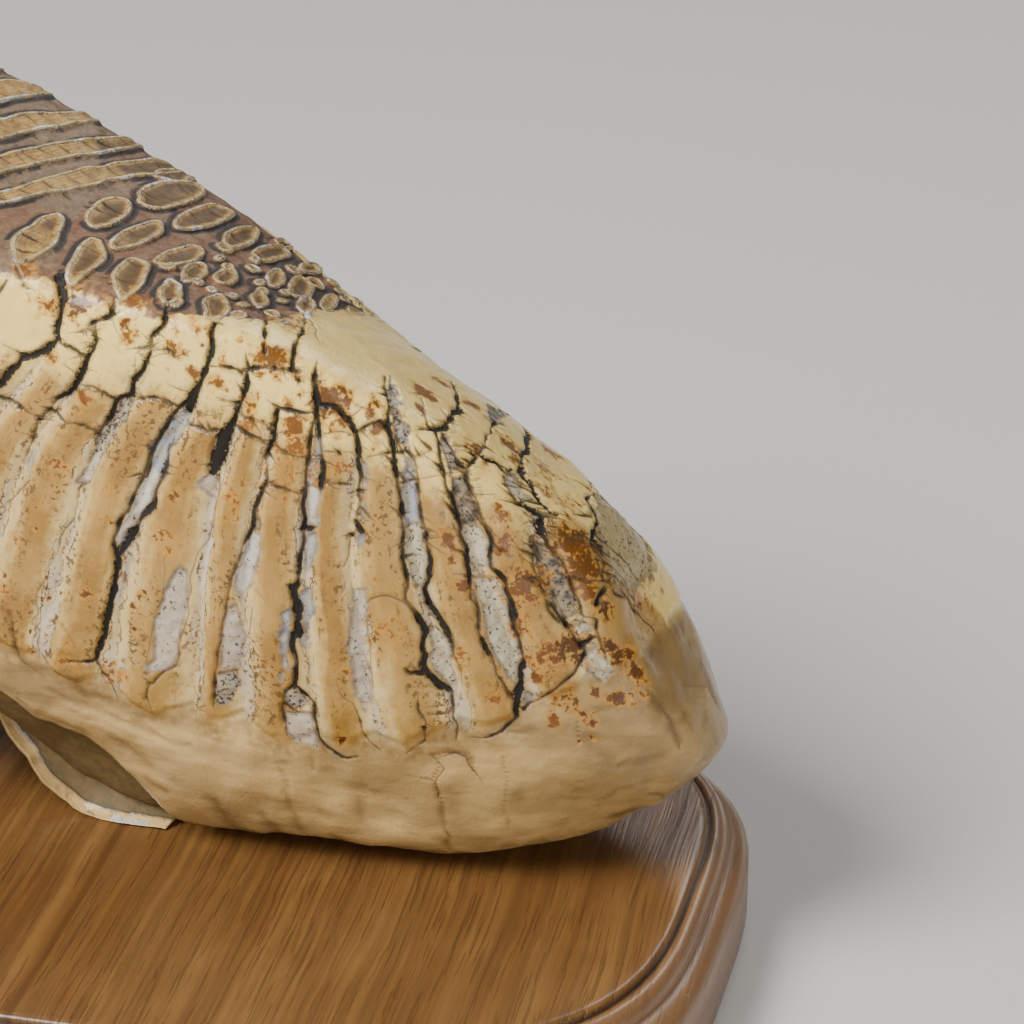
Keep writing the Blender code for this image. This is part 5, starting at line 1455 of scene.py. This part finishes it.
    def worn_colour(self, graph: Graph, place: Socket, broad: Socket, cloud: Socket,
                    fine: Socket) -> bpy.types.NodeSocket:
        """Worn face: ribbons and rings of dentine in grey to reddish cement."""
        enamel = graph.value("enamel")
        x = graph.node("ShaderNodeSeparateXYZ", {0: place}).outputs[0]
        reach = graph.step(graph.math("ADD", x, graph.math("MULTIPLY", broad, 22.0)), 12.0, 34.0)
        dentine = graph.mix(cloud, self.dentine, self.dentine_light)
        ring = graph.math("FRACT", graph.math("MULTIPLY", enamel, 1.15))
        ring = graph.step(graph.math("ABSOLUTE", graph.math("SUBTRACT", ring, 0.5)), 0.16, 0.02)
        dentine = graph.mix(graph.math("MULTIPLY", ring, 0.45), dentine, self.root_brown)
        dentine = graph.mix(graph.math("MULTIPLY", fine, 0.30), dentine, self.root_brown)
        pit = graph.math("MULTIPLY", graph.step(enamel, -0.7, -1.7), graph.math("MULTIPLY", reach, 0.80))
        dentine = graph.mix(pit, dentine, (0.045, 0.022, 0.012))
        cement = graph.mix(reach, self.cement_grey, self.cement_red)
        cement = graph.mix(graph.math("MULTIPLY", cloud, 0.60), cement, self.cement_pale)
        cement = graph.mix(graph.math("MULTIPLY", fine, 0.45), cement, (0.060, 0.034, 0.020))
        colour = graph.mix(graph.step(enamel, -0.15, 0.15), dentine, cement)
        away = graph.math("ABSOLUTE", graph.math("SUBTRACT", enamel, 0.70))
        rim = graph.math("SUBTRACT", 1.0, graph.step(away, 0.25, 0.80))
        groove = graph.math("MULTIPLY", rim, graph.step(graph.math("ADD", broad, graph.math(
            "MULTIPLY", cloud, 0.5)), 0.35, 0.65))
        return graph.mix(graph.math("MULTIPLY", groove, 0.92), colour, self.slate)

    def stained(self, graph: Graph, effects: Effects, place: Socket, colour: Socket,
                cloud: Socket, fine: Socket) -> tuple[bpy.types.NodeSocket, bpy.types.NodeSocket]:
        """Fillings and rust over a colour, and the mask of the fillings' dark grains."""
        tone = graph.node("ShaderNodeAttribute", attribute_name="tone")
        mineral = graph.value("mineral")
        filled = graph.group(effects.ragged, {"Place": place, "Distance": mineral,
                                              "Size": 1.7, "Roughness": 2.4, "Softness": 0.45})
        grain = graph.group(effects.grains, {"Place": place, "Size": 0.75,
                                             "Share": tone.outputs["Alpha"]})
        body = graph.mix(graph.math("MULTIPLY", cloud, 0.65), tone.outputs["Color"], (0.50, 0.37, 0.20))
        edge = graph.step(graph.math("ABSOLUTE", mineral), 0.9, 0.1)
        body = graph.mix(graph.math("MULTIPLY", edge, 0.55), body, self.crack_brown)
        body = graph.mix(graph.math("MULTIPLY", grain, 0.85), body, (0.022, 0.018, 0.014))
        colour = graph.mix(filled, colour, body)
        rust = graph.value("rust")
        blotch = graph.math("MULTIPLY", graph.math("SUBTRACT", cloud, 0.5), 0.55)
        wide = graph.step(graph.math("ADD", rust, blotch), 0.12, 0.60)
        wide = graph.math("MULTIPLY", wide, graph.step(rust, 0.02, 0.14))
        colour = graph.mix(graph.math("MULTIPLY", wide, 0.72), colour, self.ochre)
        speckle = graph.math("MULTIPLY", graph.math("SUBTRACT", fine, 0.5), 0.50)
        core = graph.math("ADD", rust, graph.math("ADD", blotch, speckle))
        core = graph.step(core, 0.44, 0.74)
        dark = graph.math("MULTIPLY", graph.value("rust_dark"), graph.step(graph.math(
            "ADD", rust, speckle), 0.25, 0.80))
        stain = graph.mix(dark, self.rust_orange, self.rust_brown)
        colour = graph.mix(graph.math("MULTIPLY", core, 0.92), colour, stain)
        return colour, graph.math("MULTIPLY", filled, grain)


@dataclass(frozen=True)
class EnamelFinish(Finish):
    """Hard worn enamel, golden with white and grey stretches."""

    gold: Colour = (0.50, 0.35, 0.145)
    white: Colour = (0.60, 0.565, 0.50)
    grey: Colour = (0.16, 0.145, 0.13)

    def made(self, effects: Effects) -> bpy.types.Material:
        """Builds the material."""
        material, graph, shader = self.begin()
        place = graph.place()
        patch = graph.group(effects.mottle, {"Place": place, "Size": 7.0, "Low": 0.57, "High": 0.62})
        dull = graph.group(effects.mottle, {"Place": place, "Size": 2.2, "Low": 0.42, "High": 0.7})
        grain = graph.group(effects.grains, {"Place": place, "Size": 0.7, "Share": 0.42})
        colour = graph.mix(patch, self.gold, self.white)
        colour = graph.mix(graph.math("MULTIPLY", dull, 0.80), colour, self.grey)
        colour = graph.mix(graph.math("MULTIPLY", grain, 0.75), colour, (0.026, 0.024, 0.022))
        roughness = graph.math("ADD", graph.math("MULTIPLY", grain, 0.3), 0.26)
        self.dress(graph, shader, colour, roughness, dull, 0.00015)
        return material


@dataclass(frozen=True)
class WoodFinish(Finish):
    """Lacquered golden-brown oak, its grain across the base."""

    gold: Colour = (0.195, 0.087, 0.024)
    light: Colour = (0.275, 0.137, 0.039)
    dark: Colour = (0.085, 0.035, 0.010)
    pore_brown: Colour = (0.048, 0.020, 0.007)
    edge: Colour = (0.27, 0.138, 0.062)
    grain_turn: float = math.radians(-3.0)
    flash_x: float = 18.8

    def made(self, effects: Effects) -> bpy.types.Material:
        """Builds the material."""
        material, graph, shader = self.begin()
        place = graph.place()
        turned = graph.node("ShaderNodeMapping", {"Vector": place, "Rotation": (0, 0, self.grain_turn)})
        long = graph.node("ShaderNodeVectorMath", {0: turned.outputs[0], 1: (0.05, 0.02, 0.05)},
                          operation="MULTIPLY").outputs[0]
        sway = graph.node("ShaderNodeTexNoise", {"Vector": long, "Scale": 1.0, "Detail": 1.0})
        shift = graph.node("ShaderNodeVectorMath", {0: sway.outputs["Color"], 1: (3.2, 0.0, 0.0)},
                           operation="MULTIPLY").outputs[0]
        bent = graph.node("ShaderNodeVectorMath", {0: turned.outputs[0], 1: shift},
                          operation="ADD").outputs[0]
        fibre = graph.node("ShaderNodeVectorMath", {0: bent, 1: (1.0, 0.022, 0.4)},
                           operation="MULTIPLY").outputs[0]
        ring = graph.group(effects.mottle, {"Place": fibre, "Size": 6.0, "Low": 0.30, "High": 0.70})
        band = graph.group(effects.mottle, {"Place": fibre, "Size": 1.9, "Low": 0.36, "High": 0.68})
        thread = graph.group(effects.mottle, {"Place": fibre, "Size": 0.9, "Low": 0.36, "High": 0.66})
        pore = graph.group(effects.grains, {"Place": fibre, "Size": 0.7, "Share": 0.38})
        cloud = graph.group(effects.mottle, {"Place": place, "Size": 34.0, "Low": 0.36, "High": 0.64})
        colour = graph.mix(ring, self.gold, self.light)
        colour = graph.mix(graph.math("MULTIPLY", band, 0.52), colour, self.dark)
        colour = graph.mix(graph.math("MULTIPLY", thread, 0.32), colour, self.dark)
        x = graph.node("ShaderNodeSeparateXYZ", {0: bent}).outputs[0]
        for shift, width, tone in ((0.0, 1.7, self.light), (3.6, 1.3, self.dark)):
            away = graph.math("ABSOLUTE", graph.math("SUBTRACT", x, self.flash_x + 1.6 + shift))
            colour = graph.mix(graph.math("MULTIPLY", graph.step(away, width, 0.3), 0.75), colour, tone)
        colour = graph.mix(graph.math("MULTIPLY", pore, 0.40), colour, self.pore_brown)
        colour = graph.mix(graph.math("MULTIPLY", cloud, 0.35), colour, self.dark)
        inset = graph.value("inset")
        rim = graph.math("SUBTRACT", 1.0, graph.step(inset, 5.5, 7.2))
        colour = graph.mix(graph.math("MULTIPLY", rim, 0.55), colour, self.edge)
        # Painted shade: a near-black line in the routed groove of the edge, around inset 7.4 mm.
        groove_shade = graph.math("SUBTRACT", 1.0, graph.step(graph.math("ABSOLUTE", graph.math(
            "SUBTRACT", inset, 7.4)), 0.1, 0.7))
        colour = graph.mix(graph.math("MULTIPLY", groove_shade, 0.85), colour, (0.030, 0.013, 0.007))
        roughness = graph.math("ADD", graph.math("MULTIPLY", band, 0.10), 0.30)
        height = graph.math("SUBTRACT", graph.math("MULTIPLY", thread, -0.3), pore)
        self.dress(graph, shader, colour, roughness, height, 0.00008)
        return material


@dataclass(frozen=True)
class FloorFinish(Finish):
    """Plain pale studio floor."""

    pale: Colour = (0.62, 0.60, 0.57)

    def made(self, effects: Effects) -> bpy.types.Material:
        """Builds the material."""
        material, graph, shader = self.begin()
        cloud = graph.group(effects.mottle, {"Place": graph.place(), "Size": 300.0})
        colour = graph.mix(graph.math("MULTIPLY", cloud, 0.08), self.pale, (0.56, 0.54, 0.52))
        self.dress(graph, shader, colour, graph.math("ADD", graph.math("MULTIPLY", cloud, 0.05), 0.6),
                   cloud, 0.00001)
        return material


@dataclass(frozen=True)
class RootRim:
    """The thin wall of the root canal, whose rim stands in front of the open arch."""

    rim: tuple[tuple[float, float, float], ...] = (
        (31.5, -0.8, 20.4), (27.6, -1.2, 20.4), (21.0, -1.6, 20.4), (14.6, -0.8, 20.5), (10.4, -0.5, 22.4),
        (5.3, -0.3, 26.5), (2.2, 0.0, 30.0), (-0.4, 0.0, 34.1), (-2.8, 0.3, 38.9), (-6.0, 1.2, 46.0))
    inner: tuple[tuple[float, float, float], ...] = (
        (35.0, 4.0, 27.0), (31.0, 5.0, 30.0), (25.0, 6.0, 33.0), (19.0, 6.0, 35.0), (16.0, 6.0, 37.0),
        (12.5, 5.5, 39.0), (10.0, 5.0, 41.0), (7.5, 4.5, 44.0), (5.5, 4.0, 48.0), (2.0, 4.0, 54.0))
    thickness: float = 2.6
    sag: float = 2.2
    along: int = 110
    across: int = 34

    def build(self, form: MolarForm, noise: Noise, finish: bpy.types.Material) -> bpy.types.Object:
        """Builds the wall.

        Args:
            form: the molar's form, which places it.
            noise: the noise that roughens it.
            finish: the root's material.

        Returns:
            The finished piece.
        """
        steps = np.linspace(0.0, len(self.rim) - 1.0, self.along)
        marks = np.arange(len(self.rim))
        rim, inner = [np.stack([smooth_curve(steps, marks, line) for line in np.transpose(ends)], axis=-1)
                      for ends in (self.rim, self.inner)]
        share = np.linspace(0.0, 1.0, self.across)[None, :, None] ** 1.4
        front = rim[:, None] * (1 - share) + inner[:, None] * share
        front[..., 1] += self.sag * np.sin(math.pi * share[..., 0] ** 0.7)
        front += 0.25 * noise(front, 6.0)[..., None] + 0.10 * noise(front, 2.0)[..., None]
        facing = np.cross(np.gradient(front, axis=1), np.gradient(front, axis=0))
        facing /= np.linalg.norm(facing, axis=-1, keepdims=True)
        depth = np.linalg.norm(front - front[:, :1], axis=-1)
        round_off = np.sqrt(np.clip(1.0 - (1.0 - np.clip(depth / 1.6, 0.0, 1.0)) ** 2, 0.0, 1.0))
        back = front - facing * (self.thickness * round_off)[..., None]
        points = np.concatenate([front[:, ::-1], back[:, 1:]], axis=1)
        points[..., 2] = np.maximum(points[..., 2], form.floor)
        rows, columns = points.shape[:2]
        index = np.arange(rows * columns).reshape(rows, columns)
        after = np.roll(index, -1, axis=1)
        quads = np.stack([index[:-1], after[:-1], after[1:], index[1:]], axis=-1)
        corners = np.concatenate([quads.ravel(), index[0, ::-1], index[-1]])
        starts = np.append(np.arange(quads.size // 4 + 1) * 4, quads.size + columns)
        inside = np.full((rows, columns), -5.0)
        inside[:, :self.across] = depth[:, ::-1] - 2.2
        chip = (points[..., 0] > 20.0) & (points[..., 0] < 28.0) & (inside > -5.0) & (inside < -0.6)
        fixed = {"depth": 60.0, "crown": -20.0, "crack": 9.0, "crack_side": 9.0, "crack_width": 0.3,
                 "rust": 0.0, "rust_dark": 0.0, "column": 0.5, "crease": 0.0}
        values = {label: np.full(points.size // 3, level) for label, level in fixed.items()}
        values["hollow"] = np.where(inside > 0.5, inside + 4.0, inside).ravel()
        values["mineral"] = np.where(chip, -1.0, 9.0).ravel()
        values["rise"] = points[..., 2].ravel()
        values["tone"] = np.tile(np.array(Mineral.MILK.value), (points.size // 3, 1))
        piece = dressed_mesh("root_rim", form.placed(points).reshape(-1, 3), corners, starts, None, values)
        piece.data.materials.append(finish)
        return piece


@dataclass(frozen=True)
class Molar:
    """The molar's skin and the enamel loops of its worn face."""

    sheets: int = 540
    relief: SkinRelief = SkinRelief()
    band_radius: float = 0.55
    band_sink: float = 0.37
    band_step: float = 0.55

    def build(self, finish: bpy.types.Material, top: bpy.types.Material,
              enamel: bpy.types.Material) -> list[bpy.types.Object]:
        """Builds every piece of the molar.

        Args:
            finish: the material of the crown's sides and the roots.
            top: the material of the strip with the worn face.
            enamel: the material of the enamel loops.

        Returns:
            The finished pieces.
        """
        form = MolarForm()
        grid = SkinGrid(form, self.sheets)
        pattern = SkinPattern(grid)
        height = self.relief.height(grid, pattern)
        points = grid.points + grid.normals * height[..., None]
        points[..., 2] = np.maximum(points[..., 2], form.floor)
        placed = form.placed(points)
        normals = grid.facing(placed)
        tips = [form.placed(tip) for tip in grid.tips]
        values = {"rise": grid.rise, "depth": pattern.depth, "crown": pattern.crown, "worn": pattern.worn,
                  "enamel": pattern.enamel, "crack": pattern.crack, "mineral": pattern.mineral,
                  "tone": pattern.tone, "rust": pattern.rust, "rust_dark": pattern.rust_dark,
                  "column": pattern.column, "crack_side": pattern.crack_side, "crease": pattern.crease,
                  "crack_width": pattern.crack_width, "hollow": pattern.hollow}
        pieces = []
        start = 0
        for sector in SECTORS:
            columns = np.arange(start, start + sector.count + 1) % grid.rise.shape[1]
            strip = {label: value[:, columns] for label, value in values.items()}
            piece = skin_strip(sector.name, placed[:, columns], normals[:, columns], tips, strip)
            piece.data.materials.append(top if sector.name == "grinding_face" else finish)
            pieces.append(piece)
            start += sector.count
        pieces.append(RootRim().build(form, pattern.noise, finish))
        pieces.append(self.enamel_loops(grid, pattern, points, enamel))
        return pieces

    def enamel_loops(self, grid: SkinGrid, pattern: SkinPattern, points: np.ndarray,
                     enamel: bpy.types.Material) -> bpy.types.Object:
        """The proud enamel bands round the ribbons and rings of the worn face."""
        corners, edges = [], []
        for outline in pattern.enamel_outlines(0.40):
            loop = []
            for plate, across in outline:
                rise = grid.rise_across(plate, across)
                row, column, point = grid.locate(plate, rise)
                if pattern.worn[row, column] < -1.5:
                    continue
                lift = float(np.dot(points[row, column] - grid.points[row, column],
                                    grid.normals[row, column]))
                lift = float(np.clip(lift, 0.0, 0.6))
                loop.append(point + grid.normals[row, column] * (lift - self.band_sink))
            if len(loop) < 8:
                continue
            first = len(corners)
            corners += [tuple(corner) for corner in grid.form.placed(np.array(loop))]
            edges += [(first + index, first + (index + 1) % len(loop)) for index in range(len(loop))]
        mesh = bpy.data.meshes.new("enamel_loops")
        mesh.from_pydata(corners, edges, [])
        piece = bpy.data.objects.new("enamel_loops", mesh)
        bpy.context.scene.collection.objects.link(piece)
        tree = self.band_tree(enamel)
        return grown(piece, tree, {"Band Radius": self.band_radius * MM, "Step": self.band_step * MM})

    def band_tree(self, enamel: bpy.types.Material) -> bpy.types.NodeTree:
        """Geometry nodes that turn loops of edges into round bands."""
        tree = bpy.data.node_groups.new("enamel_band", "GeometryNodeTree")
        tree.interface.new_socket(name="Geometry", in_out="INPUT", socket_type="NodeSocketGeometry")
        for name in ("Band Radius", "Step"):
            tree.interface.new_socket(name=name, in_out="INPUT", socket_type="NodeSocketFloat")
        tree.interface.new_socket(name="Geometry", in_out="OUTPUT", socket_type="NodeSocketGeometry")
        graph = Graph(tree)
        source = graph.node("NodeGroupInput")
        curve = graph.node("GeometryNodeMeshToCurve", {0: source.outputs["Geometry"]})
        even = graph.node("GeometryNodeResampleCurve", {0: curve.outputs[0], "Length": source.outputs["Step"]},
                          mode="LENGTH")
        rim = graph.node("GeometryNodeCurvePrimitiveCircle", {"Resolution": 8,
                                                              "Radius": source.outputs["Band Radius"]})
        band = graph.node("GeometryNodeCurveToMesh", {"Curve": even.outputs[0],
                                                      "Profile Curve": rim.outputs[0]})
        smooth = graph.node("GeometryNodeSetShadeSmooth", {"Geometry": band.outputs[0]})
        whole = graph.node("GeometryNodeRealizeInstances", {"Geometry": smooth.outputs[0]})
        dressed = graph.node("GeometryNodeSetMaterial", {"Geometry": whole.outputs[0], "Material": enamel})
        graph.node("NodeGroupOutput", {0: dressed.outputs[0]})
        return tree


def grown(piece: bpy.types.Object, tree: bpy.types.NodeTree, sizes: dict[str, float]) -> bpy.types.Object:
    """A plain mesh object in place of an object with geometry nodes on it.

    Args:
        piece: the object that the nodes start from.
        tree: the geometry nodes.
        sizes: values of the tree's named inputs.

    Returns:
        A new object of the same name, without the modifier.
    """
    modifier = piece.modifiers.new("nodes", "NODES")
    modifier.node_group = tree
    for item in tree.interface.items_tree:
        if item.item_type == "SOCKET" and item.in_out == "INPUT" and item.name in sizes:
            modifier[item.identifier] = sizes[item.name]
    ready = piece.evaluated_get(bpy.context.evaluated_depsgraph_get())
    mesh = bpy.data.meshes.new_from_object(ready)
    name = piece.name
    bpy.data.objects.remove(piece, do_unlink=True)
    result = bpy.data.objects.new(name, mesh)
    bpy.context.scene.collection.objects.link(result)
    return result


@dataclass(frozen=True)
class WoodenBase:
    """The rounded oblong base with its routed edge."""

    half_length: float = 140.0
    half_width: float = 78.0
    height: float = 20.0
    roundness: float = 3.3
    segments: int = 300
    profile: tuple[tuple[float, float], ...] = (
        (4.0, 0.0), (1.0, 0.0), (0.3, 0.3), (0.0, 1.0), (0.0, 6.0), (0.0, 11.2), (0.15, 12.1),
        (0.55, 13.0), (1.2, 13.9), (2.1, 14.7), (3.1, 15.2), (3.8, 15.4), (4.0, 15.6), (4.05, 16.2),
        (4.2, 17.0), (4.6, 17.8), (5.2, 18.5), (5.9, 18.9), (6.6, 18.95), (7.0, 18.75), (7.3, 18.45),
        (7.55, 18.45), (7.75, 18.8), (7.95, 19.4), (8.3, 19.8), (8.8, 19.98), (9.4, 20.0), (14.0, 20.0),
    )

    def build(self, finish: bpy.types.Material) -> bpy.types.Object:
        """Builds the base.

        Args:
            finish: the wood's material.

        Returns:
            The finished piece.
        """
        angle = np.linspace(0.0, 2 * math.pi, self.segments, endpoint=False)
        power = 2.0 / self.roundness
        along = np.sign(np.cos(angle)) * np.abs(np.cos(angle)) ** power
        across = np.sign(np.sin(angle)) * np.abs(np.sin(angle)) ** power
        corners, insets = [], []
        for inset, height in self.profile:
            for a, b in zip(along, across):
                corners.append(((self.half_length - inset) * a * MM, (self.half_width - inset) * b * MM,
                                height * MM))
                insets.append(inset)
        count = self.segments
        faces = []
        for ring in range(len(self.profile) - 1):
            for index in range(count):
                after = (index + 1) % count
                faces.append((ring * count + index, ring * count + after,
                              (ring + 1) * count + after, (ring + 1) * count + index))
        faces.append(tuple(range(count))[::-1])
        top = (len(self.profile) - 1) * count
        faces.append(tuple(range(top, top + count)))
        mesh = bpy.data.meshes.new("routed_base")
        mesh.from_pydata(corners, [], faces)
        layer = mesh.attributes.new("inset", "FLOAT", "POINT")
        layer.data.foreach_set("value", insets)
        mesh.materials.append(finish)
        mesh.shade_smooth()
        mesh.set_sharp_from_angle(angle=math.radians(50.0))
        piece = bpy.data.objects.new("routed_base", mesh)
        bpy.context.scene.collection.objects.link(piece)
        return piece


@dataclass(frozen=True)
class Studio:
    """Pale floor, soft lights and the camera at the photograph's angle."""

    floor_size: float = 24.0
    camera_place: tuple[float, float, float] = (0.22313, -0.50116, 0.32962)
    camera_tilt: float = math.radians(65.347)
    camera_heading: float = math.radians(13.980)
    lens: float = 112.5

    def build(self, finish: bpy.types.Material) -> None:
        """Builds the floor, the lights and the camera."""
        half = self.floor_size / 2
        mesh = bpy.data.meshes.new("studio_floor")
        mesh.from_pydata([(-half, -half, -0.0003), (half, -half, -0.0003), (half, half, -0.0003),
                          (-half, half, -0.0003)], [], [(0, 1, 2, 3)])
        mesh.materials.append(finish)
        floor = bpy.data.objects.new("studio_floor", mesh)
        bpy.context.scene.collection.objects.link(floor)
        self.light("key_softbox", (-0.75, -0.75, 1.15), (0.03, 0.02, 0.07), 0.75, 41.0)
        self.light("fill_softbox", (0.75, -1.05, 0.42), (0.05, 0.02, 0.05), 0.9, 8.0)
        self.light("rear_softbox", (0.30, 1.20, 1.20), (0.0, 0.0, 0.08), 0.9, 10.0)
        world = bpy.data.worlds.new("studio_air")
        world.use_nodes = True
        world.node_tree.nodes["Background"].inputs[0].default_value = (0.90, 0.90, 0.90, 1.0)
        world.node_tree.nodes["Background"].inputs[1].default_value = 0.15
        bpy.context.scene.world = world
        data = bpy.data.cameras.new("camera")
        data.lens = self.lens
        data.sensor_width = 36.0
        data.clip_start = 0.01
        camera = bpy.data.objects.new("camera", data)
        camera.location = self.camera_place
        camera.rotation_euler = (self.camera_tilt, 0.0, self.camera_heading)
        bpy.context.scene.collection.objects.link(camera)
        bpy.context.scene.camera = camera

    def light(self, name: str, place: Sequence[float], aim: Sequence[float], size: float,
              power: float) -> None:
        """Adds a square softbox that shines from its place at a point."""
        data = bpy.data.lights.new(name, "AREA")
        data.shape = "SQUARE"
        data.size = size
        data.energy = power
        lamp = bpy.data.objects.new(name, data)
        lamp.location = place
        direction = Vector(aim) - Vector(place)
        lamp.rotation_euler = direction.to_track_quat("-Z", "Y").to_euler()
        bpy.context.scene.collection.objects.link(lamp)


def main() -> None:
    """Builds the studio and every piece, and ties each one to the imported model."""
    logging.basicConfig(level=logging.INFO, format="%(message)s")
    effects = Effects()
    Studio().build(FloorFinish("pale_floor", 0.0, 0.3, 0.3).made(effects))
    base = WoodenBase().build(WoodFinish("lacquered_oak", 0.25, 0.16).made(effects))
    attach(base, "root")
    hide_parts("wooden_base")
    ivory = ToothFinish("fossil_ivory", 0.22, 0.14, 0.3).made(effects)
    top = ToothFinish("fossil_ivory_top", 0.22, 0.14, 0.3, True).made(effects)
    enamel = EnamelFinish("worn_enamel", 0.25, 0.14).made(effects)
    for piece in Molar().build(ivory, top, enamel):
        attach(piece, "root")
        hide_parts("molar")
        LOG.info("%s: %d faces", piece.name, len(piece.data.polygons))


if __name__ == "__main__":
    main()
